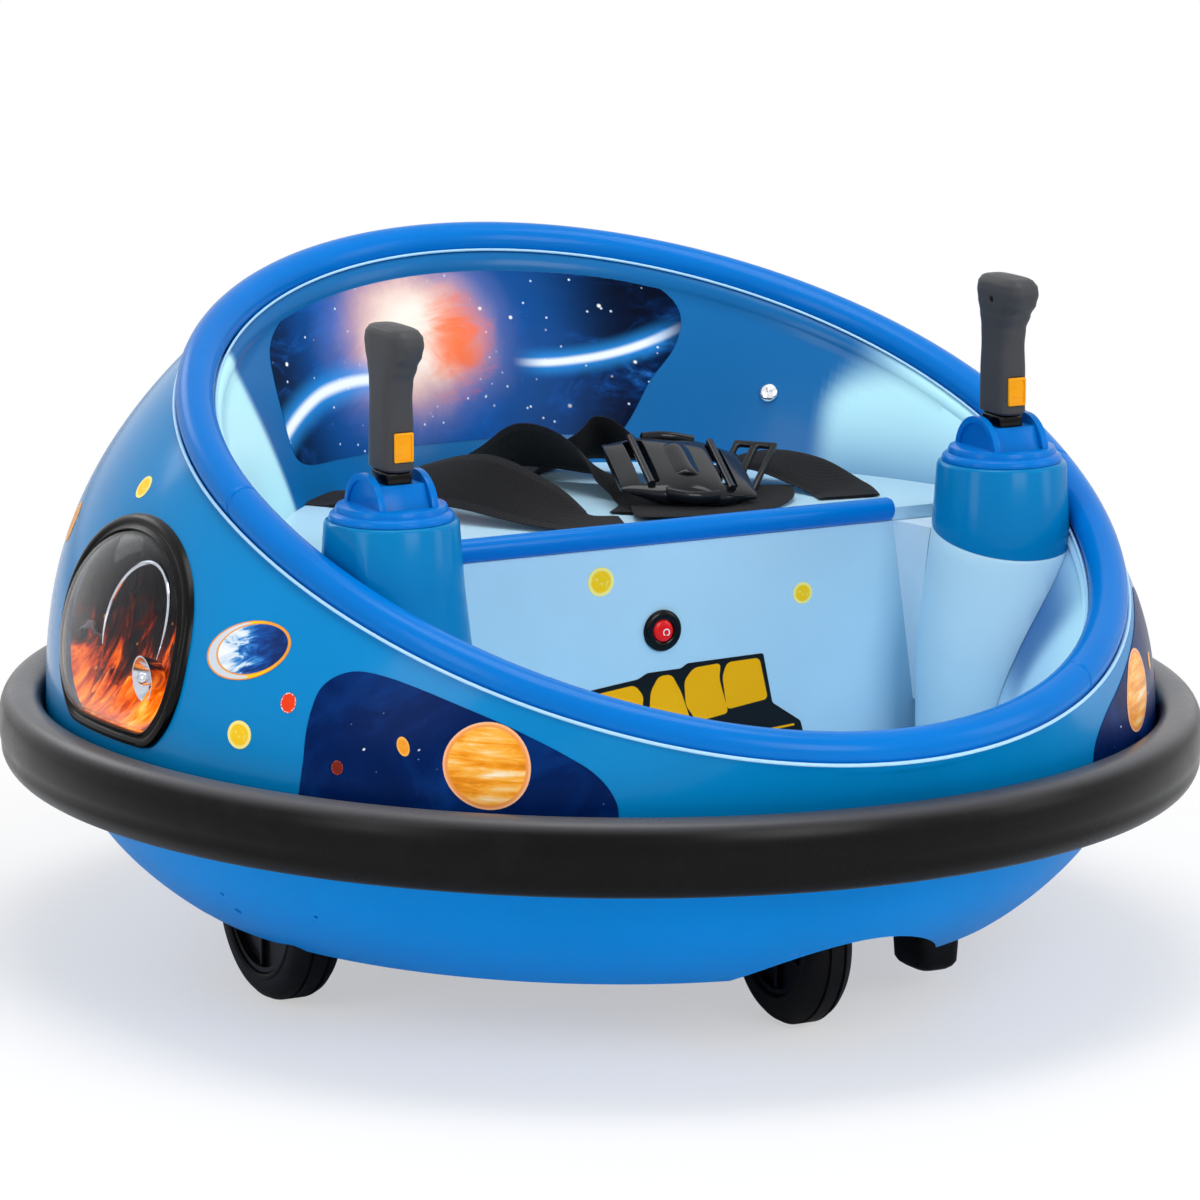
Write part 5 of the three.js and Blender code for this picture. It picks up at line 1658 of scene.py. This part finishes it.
@dataclass
class Wheel:
    """A wheel with a grooved tyre and a dished hub, about an axle along Y."""

    radius: float
    width: float
    rim: float
    bore: float
    ribs: int = 6                     # on each face

    def tyre(self, name: str, place: Point, finishes: Finishes, body: str, node: str) -> None:
        """The tyre: rounded shoulders, two grooves round the tread and a lip beside the hub."""
        r, h = self.radius, self.width / 2
        groove, edge = h * 0.34, self.rim
        profile = [(edge, h - 1.2), (edge + 1.2, h), (edge + 2.6, h), (edge + 3.4, h - 0.9),
                   (r - 7.0, h - 0.9), (r - 4.2, h - 2.4), (r - 1.6, h - 5.0), (r - 0.3, h - 8.0),
                   (r, groove + 0.9), (r - 1.4, groove + 0.5), (r - 1.4, groove - 0.5),
                   (r, groove - 0.9)]
        profile += [(radius, -y) for radius, y in reversed(profile)]
        profile.append(profile[0])
        Shop.deliver(lathe(name, profile, 112, place, Axis.Y), finishes.tyre, body, "tyre_rubber",
                     [node], 35.0)

    def hub(self, name: str, place: Point, finishes: Finishes, body: str, node: str) -> None:
        """The hub: a dished web with a boss, and ribs between them on both faces."""
        r, h, b = self.rim - 0.3, self.width / 2 - 1, self.bore + 0.3
        half = [(b, h), (b + 6, h), (b + 7, h - 0.8), (b + 8.2, h - 5), (r - 4, h - 5),
                (r - 3.2, h - 1), (r - 0.6, h - 1), (r, h - 1.6)]
        profile = half + [(radius, -y) for radius, y in reversed(half)]
        profile.append(profile[0])
        parts = [lathe("hub", profile, 96, place, Axis.Y)]
        for face in (1, -1):
            low, high = sorted((face * (h - 5.6), face * (h - 2.2)))
            for k in range(self.ribs):
                rib = rounded_box("rib", (b + 6.5, low, -1.6), (r - 3.6, high, 1.6), 0.6, 2)
                parts.append(spin(rib, Matrix.Translation(Vector(place) * MM)
                                  @ Matrix.Rotation(TURN * (k + 0.5) / self.ribs, 4, "Y")))
        Shop.deliver(joined(name, parts), finishes.black, body, "black_plastic", [node])


@dataclass
class RunningGear:
    """The driven wheels, the casters, and what shows of their brackets from below."""

    drive: Wheel
    caster: Wheel
    caster_x: float = 183.0
    trail: float = 14.0               # of a caster's axle behind its pivot

    def build(self, finishes: Finishes) -> None:
        """Makes the wheels and dresses the nodes that keep their shape."""
        for side in Side:
            place = (LAYOUT.drive_x, side.value * LAYOUT.drive_y, self.drive.radius)
            body = f"drive_wheel_{side.label}"
            self.drive.tyre(f"wheel_tyre_{side.label}", place, finishes, body,
                            f"drive_tyre_{side.label}")
            self.drive.hub(f"wheel_hub_{side.label}", place, finishes, body, f"drive_hub_{side.label}")
            Shop.refinish(f"drive_axle_{side.label}", finishes.steel)
            self.gearbox(side, finishes)
        for end in End:
            place = (end.value * self.caster_x + self.trail, end.value * LAYOUT.caster_y,
                     self.caster.radius)
            body = f"caster_wheel_{end.label}"
            self.caster.tyre(f"roller_tyre_{end.label}", place, finishes, body,
                             f"caster_tyre_{end.label}")
            self.caster.hub(f"roller_hub_{end.label}", place, finishes, body, f"caster_hub_{end.label}")
            for node in ("caster_fork", "caster_mount"):
                Shop.refinish(f"{node}_{end.label}", finishes.black)
            Shop.refinish(f"caster_axle_{end.label}", finishes.steel)
            self.axle_nuts(end, place, finishes)

    def axle_nuts(self, end: End, place: Point, finishes: Finishes) -> None:
        """A domed nut on one end of a caster's axle and a round head on the other."""
        parts = []
        for face in (1, -1):
            y = place[1] + face * 20.6
            parts.append(lathe("nut", [(0, 0), (7.2, 0), (7.2, face * 1.6), (5.6, face * 2.0),
                                       (5.2, face * 4.0), (3.2, face * 5.6), (0, face * 6.2)],
                               6 if face > 0 else 24, (place[0], y, place[2]), Axis.Y))
        piece = joined(f"roller_nuts_{end.label}", parts)
        Shop.deliver(piece, finishes.steel, f"caster_fork_{end.label}", "steel_axle")

    @staticmethod
    def gearbox(side: Side, finishes: Finishes) -> None:
        """The gear housing: a rounded case with ribs across its top."""
        low, high = node_box(f"drive_gearbox_{side.label}")
        parts = [rounded_box("case", tuple(low), tuple(high), 5.0, 4)]
        for k in range(5):
            x = low.x + 14 + k * (high.x - low.x - 28) / 4
            parts.append(rounded_box("rib", (x - 1, low.y + 1.5, high.z - 1.2),
                                     (x + 1, high.y - 1.5, high.z), 0.4, 1))
        Shop.deliver(joined(f"gear_housing_{side.label}", parts), finishes.black, "body",
                     "black_plastic", [f"drive_gearbox_{side.label}"])


@dataclass
class SmallParts:
    """The skid foot, the battery, the power switch and the wall screw."""

    def build(self, finishes: Finishes) -> None:
        """Makes the small parts."""
        low, high = node_box("skid_foot")
        middle = (low + high) / 2
        loops = []
        for share, shrink in ((0.0, 5.0), (0.06, 2.4), (0.16, 0.6), (0.5, 0.0), (1.0, 0.0)):
            half_x = (high.x - low.x) / 2 - shrink
            half_y = (high.y - low.y) / 2 - shrink
            loops.append([(middle.x + half_x * signed_power(cos(a), 0.5),
                           middle.y + half_y * signed_power(sin(a), 0.5),
                           low.z + (high.z - low.z) * share) for a in angles(48)])
        Shop.deliver(loft("foot", loops), finishes.tyre, "body", "black_plastic", ["skid_foot"], 50.0)
        low, high = node_box("battery")
        case = rounded_box("battery_case", tuple(low), tuple(high), 2.5, 3)
        Shop.deliver(case, finishes.black, "body", "black_plastic", ["battery"])
        self.switch(finishes)
        self.screw(finishes)

    @staticmethod
    def switch(finishes: Finishes) -> None:
        """The round rocker switch on the apron."""
        low, high = node_box("power_switch_bezel")
        centre = (low.x, (low.y + high.y) / 2, (low.z + high.z) / 2)
        ring = lathe("switch_ring", [(6.5, 0.0), (11.5, 0.0), (11.5, 1.1), (10.9, 1.9), (9.6, 2.4),
                                     (7.6, 2.5), (6.8, 2.1), (6.5, 1.4), (6.5, 0.0)], 64, centre, Axis.X)
        Shop.deliver(ring, finishes.gloss_black, "body", "black_plastic", ["power_switch_bezel"], 40.0)
        loops = []
        for size, rise in ((0.96, 0.0), (1.0, 0.4), (1.0, 1.2), (0.9, 2.0), (0.6, 2.25), (0.2, 2.3)):
            loops.append([(centre[0] + rise + (0.5 * cos(a) * size if rise > 1.1 else 0.0),
                           centre[1] + 6.2 * size * sin(a), centre[2] - 6.2 * size * cos(a))
                          for a in angles(48)])
        Shop.deliver(loft("switch_rocker", loops), finishes.red, "body", "red_rocker",
                     ["power_switch_rocker"], 50.0)
        mark = lathe("switch_mark", [(1.5, 0), (2.15, 0), (2.15, 0.12), (1.5, 0.12), (1.5, 0)], 32,
                     (centre[0] + 2.35, centre[1] + 1.5, centre[2] - 0.9), Axis.X)
        Shop.deliver(mark, finishes.white_ink, "body", "pale_blue")

    @staticmethod
    def screw(finishes: Finishes) -> None:
        """A large bright pan-head screw on the liner's left wall."""
        angle, up = radians(130.6), 0.781
        at = Vector(LAYOUT.tub_point(angle, up, 0.2))
        inward = -LAYOUT.normal_of(LAYOUT.tub_point, angle, up)
        head = lathe("wall_screw", [(0, 0), (5.6, 0), (5.6, 0.7), (5.0, 1.7), (3.6, 2.5), (0, 2.9)], 48)
        for turn in (0.3, 0.3 + pi / 2):
            slot = rounded_box("slot", (-2.7, -0.45, 1.3), (2.7, 0.45, 4), 0.2, 1)
            cut(head, spin(slot, Matrix.Rotation(turn, 4, "Z")))
        spin(head, Matrix.Translation(at * MM) @ inward.to_track_quat("Z", "Y").to_matrix().to_4x4())
        Shop.deliver(head, finishes.bright, "body", "steel_axle", smooth=40.0)


@dataclass
class Harness:
    """The lap harness lying loose on the seat: webbing lengths, a buckle and a bar adjuster."""

    thick: float = 1.5
    rest: float = 249.4               # the seat, under the harness
    pitch: int = 16                   # sections from one point of a route to the next
    buckle_at: Point = (2.0, 50.0, 14.0)                 # X, Y and rise over the seat
    buckle_scale: float = 1.45
    adjuster_at: Point = (-6.0, 98.0, 13.5)

    def strap(self, name: str, finishes: Finishes, route: Sequence[tuple[float, ...]],
              replaces: Sequence[str] = (), width: float = 43.0) -> None:
        """A length of webbing along a route.

        Args:
            name: The piece's name.
            finishes: The finishes.
            route: Each point's X, Y, rise over the seat, and the webbing's roll there in degrees.
            replaces: CAD nodes that it stands for.
            width: The webbing's width.
        """
        points = [Vector((x, y, self.rest + 0.8 + rise, roll)) for x, y, rise, roll in route]
        last = len(points) - 1
        def at(t: float) -> Vector:
            """The route's place and roll after t points."""
            k = min(int(t), last - 1)
            return between([points[j] for j in (max(k - 1, 0), k, k + 1, min(k + 2, last))], t - k)
        loops, runs, run = [], [], 0.0
        half, deep, before = width / 2, self.thick / 2, at(0.0).xyz
        for i in range(self.pitch * last + 1):
            t = i / self.pitch
            here, roll = at(t).xyz, radians(at(t).w)
            along = (at(min(t + 0.01, float(last))).xyz - at(max(t - 0.01, 0.0)).xyz).normalized()
            flat = Vector((0, 0, 1)).cross(along)
            flat = flat.normalized() if flat.length > 0.05 else Vector((0, 1, 0))
            across = Matrix.Rotation(roll, 3, along) @ flat
            up = along.cross(across).normalized()
            run += (here - before).length
            before = here
            loop = []
            for face in (1, -1):
                for s in spread(9, -face, face):
                    rise = face * (deep - 0.5 * (abs(s) > 0.99))
                    loop.append(tuple(here + across * half * s + up * rise))
                    runs.append((half * s, run, 0.0))
            loops.append(loop)
        piece = loft(name, loops)
        store(piece, "strap_run", runs)
        Shop.deliver(piece, finishes.webbing, "body", "webbing", replaces, 60.0)

    def build(self, finishes: Finishes) -> None:
        """Lays out the harness."""
        self.strap("webbing_right", finishes, [
            (-108, -128, 0, 0), (-88, -112, 1, 4), (-51, -96, 14, 18), (-8, -76, 20, 34),
            (22, -55, 12, 24), (44, -34, 2, 4), (52, -12, 0.4, 0)], ["harness_strap_right"])
        self.strap("webbing_arch_right", finishes, [
            (-146, -46, 0, 0), (-116, -36, 0.6, 0), (-98, -20, 12, -24), (-84, 0, 22, -44),
            (-62, 20, 17, -36), (-38, 34, 5, -10), (-14, 40, 0.6, 0), (14, 30, 0.4, 0),
            (32, 14, 0, 0)], ["harness_strap_left"])
        self.strap("webbing_arch_left", finishes, [
            (-143, 6, 0, 0), (-110, 22, 0.6, 0), (-97, 36, 13, -28), (-90, 52, 21, -44),
            (-72, 66, 18, -34), (-48, 76, 12, -10), (-16, 84, 8, 0)])
        self.strap("webbing_front", finishes, [
            (30, 6, 1.9, 0), (38, 24, 1.5, 0), (40, 48, 0.4, 0), (36, 72, 0, 0), (24, 92, 1.5, 0),
            (10, 100, 5, 0)], width=34.0)
        self.strap("webbing_tail_left", finishes, [
            (-36, 104, 11, 0), (-22, 120, 13, 10), (-2, 134, 9, 14), (22, 142, 2, 6),
            (40, 139, 0, 0)], width=36.0)
        self.buckle(finishes)
        self.adjuster(finishes)

    def over_seat(self, at: Point) -> Matrix:
        """The move to a place given by X, Y and the rise over the seat."""
        return Matrix.Translation(Vector((at[0], at[1], self.rest + at[2])) * MM)

    def buckle(self, finishes: Finishes) -> None:
        """The side-release buckle with its curved body, ladder bars and tongue."""
        turn = (self.over_seat(self.buckle_at) @ Matrix.Rotation(radians(74), 4, "Z")
                @ Matrix.Rotation(radians(17), 4, "X")
                @ Matrix.Rotation(radians(6), 4, "Y") @ Matrix.Scale(self.buckle_scale, 4))
        rows = []
        for s in spread(25, -1.0, 1.0):
            x = 27.0 * s
            half = 24.5 - 5.5 * smooth_step(0.35, 1.0, abs(s)) - 2.2 * math.exp(-(s / 0.22) ** 2)
            rise = 4.2 * (1 - s * s) + 1.4
            rows.append([(x, half * signed_power(cos(a), 0.6),
                          2.0 + rise * signed_power(sin(a), 0.7)) for a in angles(40)])
        body = loft("body", rows)
        cut(body, rounded_box("slot_a", (-19.5, -18, -12), (-12.0, 18, 20), 1.6, 3))
        cut(body, rounded_box("slot_b", (13.0, -17, -12), (19.5, 17, 20), 1.6, 3))
        parts = [softened(body, 0.5, 2, 40.0)]
        parts += [rod("bar", 1.5, -20, 20, 20, (x, 0, 6.0), Axis.Y) for x in (-15.8, 16.2)]
        pad = []
        for s in spread(21, -1.0, 1.0):
            wave = 6.4 + 1.6 * cos(s * pi)
            pad.append([(9.2 * s, 12.5 * signed_power(cos(a), 0.5),
                         wave + 1.3 * signed_power(sin(a), 0.6)) for a in angles(32)])
        parts.append(loft("pad", pad))
        for side in (1, -1):
            rows = []
            for s in spread(17, -1.0, 1.0):
                y = side * (23.2 + 2.4 * cos(s * pi / 2))
                rows.append([(10.5 * s, y + 1.9 * cos(a), 4.0 + 2.6 * sin(a)) for a in angles(16)])
            parts.append(loft("prong", rows))
        Shop.deliver(spin(joined("buckle", parts), turn), finishes.buckle, "body",
                     "black_plastic", ["harness_buckle"], 45.0)

    def adjuster(self, finishes: Finishes) -> None:
        """The bar adjuster: a flat plate with a slot on each side of its middle bar."""
        plate = outline_prism("bar_adjuster", rectangle(-13, -21, 13, 21), 0.0, 3.0)
        cut(plate, rounded_box("slot", (-9.5, -17, -5), (-2.2, 17, 8), 1.2))
        cut(plate, rounded_box("slot", (2.2, -17, -5), (9.5, 17, 8), 1.2))
        softened(plate, 1.1, 3, 40.0)
        spin(plate, self.over_seat(self.adjuster_at)
             @ Matrix.Rotation(radians(40), 4, "Z") @ Matrix.Rotation(radians(30), 4, "X"))
        Shop.deliver(plate, finishes.buckle, "body", "black_plastic", smooth=45.0)


@dataclass(frozen=True)
class Skin:
    """A curved wall that stickers lie on, given by angle and share up."""

    surface: Surface
    outward: float                    # 1 on the flank, -1 on the liner's inside

    def point(self, angle: float, up: float, lift: float) -> Point:
        """A point that stands off the wall."""
        normal = LAYOUT.normal_of(self.surface, angle, up) * self.outward
        return tuple(Vector(self.surface(angle, up)) + normal * lift)

    def offset(self, angle: float, up: float, across: float, rise: float) -> tuple[float, float]:
        """The angle and share up reached by going some millimetres across and up the wall."""
        legs = 4
        for _ in range(legs):
            here = Vector(self.surface(angle, up))
            along = (Vector(self.surface(angle + NUDGE, up)) - here) / NUDGE
            climb = (Vector(self.surface(angle, up + NUDGE)) - here) / NUDGE
            normal = along.cross(climb).normalized()
            level = Vector((0, 0, 1)).cross(normal).normalized()
            steep = normal.cross(level)
            target = (level * across + steep * rise) / legs
            a, b, c = along.dot(along), along.dot(climb), climb.dot(climb)
            p, q = along.dot(target), climb.dot(target)
            fix = a * c - b * b
            angle += (p * c - q * b) / fix
            up += (q * a - p * b) / fix
        return angle, up


FLANK = Skin(LAYOUT.flank_point, 1.0)
LINER = Skin(LAYOUT.tub_point, -1.0)


def rounded_outline(corners: Outline, per: int) -> Outline:
    """A smooth closed curve through some points, with some steps from each to the next."""
    points, count = [], len(corners)
    for i in range(count):
        near = [Vector(corners[(i + k) % count]) for k in (-1, 0, 1, 2)]
        points += [tuple(between(near, k / per)) for k in range(per)]
    return points


@dataclass
class Graphics:
    """The printed films and discs on the flanks, the liner and the apron."""

    lift: float = 0.28
    back: float = 0.04                # how far a film's back stays off the wall

    def film(self, name: str, skin: Skin, outline: Outline, finish: Material, rings: int = 14) -> None:
        """A film whose outline is given in degrees and shares up, with its places kept in mm."""
        centre = Vector((sum(p[0] for p in outline), sum(p[1] for p in outline))) / len(outline)
        loops, marks = [], []
        middle = skin.point(radians(centre.x), centre.y, 0.0)
        for size, lift in ([(s, self.lift) for s in spread(rings, 0.04, 1.0)]
                           + [(s, self.back) for s in (1.0, 0.66, 0.33, 0.04)]):
            loop = []
            for p in outline:
                at = centre + (Vector(p) - centre) * size
                point = skin.point(radians(at.x), at.y, lift)
                loop.append(point)
                if skin is LINER:
                    marks.append((point[1] - middle[1], point[2] - middle[2], 0.0))
                else:
                    marks.append((radians(at.x) * 300, point[2], 0.0))
            loops.append(loop)
        piece = loft(name, loops)
        store(piece, "film_place", marks)
        Shop.deliver(piece, finish, "body", "hull_blue", smooth=60.0)

    def disc(self, name: str, skin: Skin, place: tuple[float, float], size: tuple[float, float],
             tilt: float, finish: Material, lift: float = 0.0) -> None:
        """A small oval disc.

        Args:
            name: The piece's name.
            skin: The wall it lies on.
            place: Its centre in degrees and share up.
            size: Its half width and half height in millimetres.
            tilt: Its turn in degrees.
            finish: Its material.
            lift: How far over the wall it starts.
        """
        turn = radians(tilt)
        loops, marks = [], []
        rounds = [(s, self.lift + lift) for s in (0.05, 0.3, 0.5, 0.7, 0.85, 1.0)]
        rounds += [(s, self.back + lift) for s in (1.0, 0.5, 0.05)]
        for share, rise in rounds:
            loop = []
            for a in angles(48):
                u, v = share * cos(a), share * sin(a)
                x, y = u * size[0], v * size[1]
                across = x * cos(turn) - y * sin(turn)
                up = x * sin(turn) + y * cos(turn)
                at = skin.offset(radians(place[0]), place[1], across * skin.outward, up)
                loop.append(skin.point(*at, rise))
                marks.append((u, v, 0.0))
            loops.append(loop)
        piece = loft(name, loops)
        store(piece, "disc_place", marks)
        Shop.deliver(piece, finish, "body", "amber_button", smooth=60.0)

    @staticmethod
    def plate(name: str, corners: Outline, finish: Material, low: float, high: float,
              corner: float) -> None:
        """A flat shape on the apron with round corners, given by its places across and up."""
        front = LAYOUT.seat_front
        piece = outline_prism(name, corners, front + low, front + high, Axis.X)
        with_bmesh(piece, lambda bm: bmesh.ops.bevel(
            bm, geom=[e for e in bm.edges if abs(e.verts[0].co.x - e.verts[1].co.x) > 1e-5],
            offset=corner * MM, segments=4, affect="EDGES", profile=0.5, clamp_overlap=True))
        Shop.deliver(piece, finish, "body", "amber_button")

    def banner(self, finishes: Finishes) -> None:
        """A blank banner on the apron: a black ground with slanting orange blocks and a tail."""
        ground = [(-52, 128), (-50, 163.5), (-15, 167.5), (-9, 170.5), (12, 171.0), (16, 173.5),
                  (64, 174.5), (70, 146), (88, 134), (90, 127), (60, 123), (-20, 124)]
        self.plate("banner_ground", ground, finishes.black_ink, 0.03, 0.25, 1.2)
        blocks = [[(-49, 131), (-47.5, 161), (-17, 164.5), (-11.5, 158), (-14, 136), (-18, 131)],
                  [(-9, 133), (-7, 160), (-2, 168), (6, 168.3), (12, 158), (20, 136), (14, 133)],
                  [(15, 150), (14, 164), (20, 170.6), (37, 171.6), (36, 163), (42, 143), (22, 140)],
                  [(41, 145), (38, 164), (41, 171.6), (61.5, 172.2), (67, 148.5)]]
        for k, block in enumerate(blocks):
            self.plate(f"banner_block_{k}", block, finishes.orange_ink, 0.26, 0.42, 2.6)
        self.plate("banner_line", [(28, 127.2), (84, 131.6), (84, 132.8), (28, 128.6)],
                   finishes.orange_ink, 0.26, 0.4, 0.4)

    def build(self, finishes: Finishes) -> None:
        """Places every film and disc."""
        panel = [(207.5, 0.975), (203, 0.983), (197, 0.985), (190, 0.985), (180, 0.985),
                 (170, 0.985), (161, 0.985), (153.5, 0.98), (148, 0.958), (144.9, 0.91), (145.6, 0.83),
                 (149.3, 0.74), (151.6, 0.67), (154, 0.615), (157.5, 0.598), (166, 0.592),
                 (175, 0.585), (184, 0.586), (192, 0.592), (201, 0.602), (210, 0.62),
                 (217.5, 0.642), (221.8, 0.672), (223, 0.715), (222, 0.78), (220.6, 0.85),
                 (218.2, 0.92), (213.5, 0.955)]
        self.film("nebula_panel", LINER, rounded_outline(panel, 4), finishes.nebula, 26)
        right = [(-60.2, 0.1), (-60.3, 0.2), (-60.3, 0.3), (-60.5, 0.4), (-61.2, 0.52), (-62.0, 0.63),
                 (-62.8, 0.74), (-62.4, 0.82), (-60.8, 0.87), (-57.0, 0.895), (-51.5, 0.897),
                 (-45.4, 0.88), (-41.0, 0.845), (-37.2, 0.795), (-33.4, 0.715), (-30.7, 0.6),
                 (-29.0, 0.46), (-28.4, 0.33), (-28.3, 0.2), (-28.3, 0.1), (-36.0, 0.1),
                 (-44.0, 0.1), (-52.0, 0.1)]
        discs = [("oval_yellow", (-104.2, 0.876), (6.8, 6.8), 0, finishes.coin, 0.0),
                 ("oval_orange", (-118.0, 0.592), (11.5, 12.0), 0, finishes.amber_coin, 0.0),
                 ("marbled", (-72.8, 0.74), (28.5, 15.8), 14, finishes.marbled, 0.0),
                 ("red_dot", (-64.7, 0.622), (4.9, 5.3), 0, finishes.red_dot, 0.0),
                 ("yellow_dot", (-68.4, 0.4), (8.3, 7.4), 0, finishes.coin, 0.0),
                 ("banded", (-42.6, 0.6), (23.6, 22.6), 0, finishes.banded, 0.3),
                 ("amber_dot", (-51.2, 0.6), (3.4, 5.2), 24, finishes.amber_coin, 0.3),
                 ("dark_dot", (-56.6, 0.385), (3.5, 3.7), 0, finishes.dark_dot, 0.3)]
        for side in Side:
            flip = -side.value
            outline = [(d * flip, u) for d, u in right]
            self.film(f"star_film_{side.label}", FLANK, rounded_outline(outline, 5), finishes.stars, 14)
            for name, (degrees, up), size, tilt, finish, lift in discs:
                self.disc(f"{name}_{side.label}", FLANK, (degrees * flip, up), size, tilt * flip,
                          finish, lift)
        self.apron_discs(finishes)
        self.banner(finishes)

    @staticmethod
    def apron_discs(finishes: Finishes) -> None:
        """The two yellow discs on the apron."""
        for name, y, z, radius in (("apron_disc_big", -38.0, 224.0, 8.0),
                                   ("apron_disc_small", 89.0, 206.0, 6.0)):
            disc = lathe(name, [(0, 0.03), (radius, 0.03), (radius, 0.28), (radius * 0.8, 0.3),
                                (radius * 0.4, 0.3), (0, 0.3)], 48, (LAYOUT.seat_front, y, z), Axis.X)
            marks = [((v.co.y / MM - y) / radius, (v.co.z / MM - z) / radius, 0.0)
                     for v in disc.data.vertices]
            store(disc, "disc_place", marks)
            Shop.deliver(disc, finishes.coin, "body", "amber_button")


@dataclass
class Studio:
    """The floor, the lamps, the backdrop light and the camera."""

    camera_at: Point = (3.1198, -1.6855, 0.9010)
    target: Point = (0.0628, -0.0324, 0.2115)
    lens: float = 194.6
    sensor: float = 36.0
    fill: float = 0.38                # the backdrop's strength where it only lights
    reach: float = 9000.0             # half the floor's width

    def camera(self) -> None:
        """Makes the camera at the car's front right."""
        data = bpy.data.cameras.new("camera")
        data.lens, data.sensor_width = self.lens, self.sensor
        data.clip_end = 50.0
        camera = bpy.data.objects.new("camera", data)
        camera.location = self.camera_at
        aim = Vector(self.target) - Vector(self.camera_at)
        camera.rotation_euler = aim.to_track_quat("-Z", "Y").to_euler()
        bpy.context.scene.collection.objects.link(camera)
        bpy.context.scene.camera = camera

    def lamp(self, name: str, place: Point, size: tuple[float, float], power: float,
             aim: Point = (0.0, 0.0, 0.2)) -> None:
        """A soft rectangular lamp that faces a point."""
        data = bpy.data.lights.new(name, "AREA")
        data.shape = "RECTANGLE"
        data.size, data.size_y = size
        data.energy = power
        lamp = bpy.data.objects.new(name, data)
        lamp.location = place
        lamp.rotation_euler = (Vector(aim) - Vector(place)).to_track_quat("-Z", "Y").to_euler()
        bpy.context.scene.collection.objects.link(lamp)

    def floor(self) -> None:
        """A wide white floor that keeps the car's shadow and fades to white away from it."""
        corners = rectangle(-self.reach, -self.reach, self.reach, self.reach)
        floor = mesh_piece("studio_floor", [(x, y, 0) for x, y in corners], [(0, 1, 2, 3)])
        recipe = Recipe("studio_white")
        away = recipe.distance(recipe.stretched(recipe.place(), (1.0, 1.0, 0.0)), (0.0, 0.0, 0.0))
        seen = recipe.node("ShaderNodeLightPath", output="Is Camera Ray")
        lit = recipe.principled(Base_Color=(0.93, 0.93, 0.93), Roughness=0.55, Specular_IOR_Level=0.3)
        glow = recipe.node("ShaderNodeEmission", {}, {"Color": (1.0, 1.0, 1.0), "Strength": 1.0}, 0)
        fade = seen * (away.step(0.28, 0.8) * 0.5 + 0.5)
        floor.data.materials.append(recipe.finish(
            recipe.node("ShaderNodeMixShader", {}, {0: fade, 1: lit, 2: glow}, 0)))

    def backdrop(self) -> None:
        """White to the eye and in reflections, and a soft fill for the rest."""
        recipe = Recipe("studio", Owner.WORLD)
        seen = recipe.node("ShaderNodeLightPath", output="Is Camera Ray")
        for ray in ("Is Transmission Ray", "Is Glossy Ray"):
            seen = seen.math("MAXIMUM", seen, recipe.node("ShaderNodeLightPath", output=ray))
        fill, white = (recipe.node("ShaderNodeBackground", {}, {
            "Color": (1.0, 1.0, 1.0), "Strength": strength}) for strength in (self.fill, 1.0))
        bpy.context.scene.world = recipe.finish(
            recipe.node("ShaderNodeMixShader", {}, {0: seen, 1: fill, 2: white}))

    def build(self) -> None:
        """Sets the studio up."""
        self.camera()
        self.lamp("lamp_top", (0.1, 0.0, 2.4), (1.5, 1.1), 28.0)
        self.lamp("lamp_front", (2.6, 0.2, 1.5), (1.2, 1.2), 29.0)
        self.lamp("lamp_right", (0.6, -2.4, 1.2), (0.7, 1.6), 14.0)
        self.lamp("lamp_left", (1.6, 2.2, 1.2), (0.8, 1.6), 12.0)
        self.lamp("lamp_back", (-2.4, -0.6, 1.6), (1.2, 0.8), 9.0)
        self.floor()
        self.backdrop()
        bpy.context.scene.view_settings.view_transform = "Standard"


def main() -> None:
    """Builds the car piece by piece, then the studio."""
    logging.basicConfig(level=logging.INFO, format="%(name)s %(message)s")
    finishes = Finishes()
    lamps, cockpit = HeadLamp(), Cockpit()
    LowerHull().build(finishes)
    UpperShell().build(finishes, lamps)
    BumperRing().build(finishes)
    RimTrim().build(finishes)
    cockpit.build(finishes)
    for side in Side:
        lamps.build(side, finishes)
        ControlPod().build(side, cockpit, finishes)
        Joystick().build(side, finishes)
    RunningGear(drive=Wheel(radius=55.0, width=31.0, rim=40.0, bore=6.0),
                caster=Wheel(radius=49.0, width=27.0, rim=33.0, bore=4.0)).build(finishes)
    SmallParts().build(finishes)
    Harness().build(finishes)
    Graphics().build(finishes)
    Studio().build()


if __name__ == "__main__":
    main()
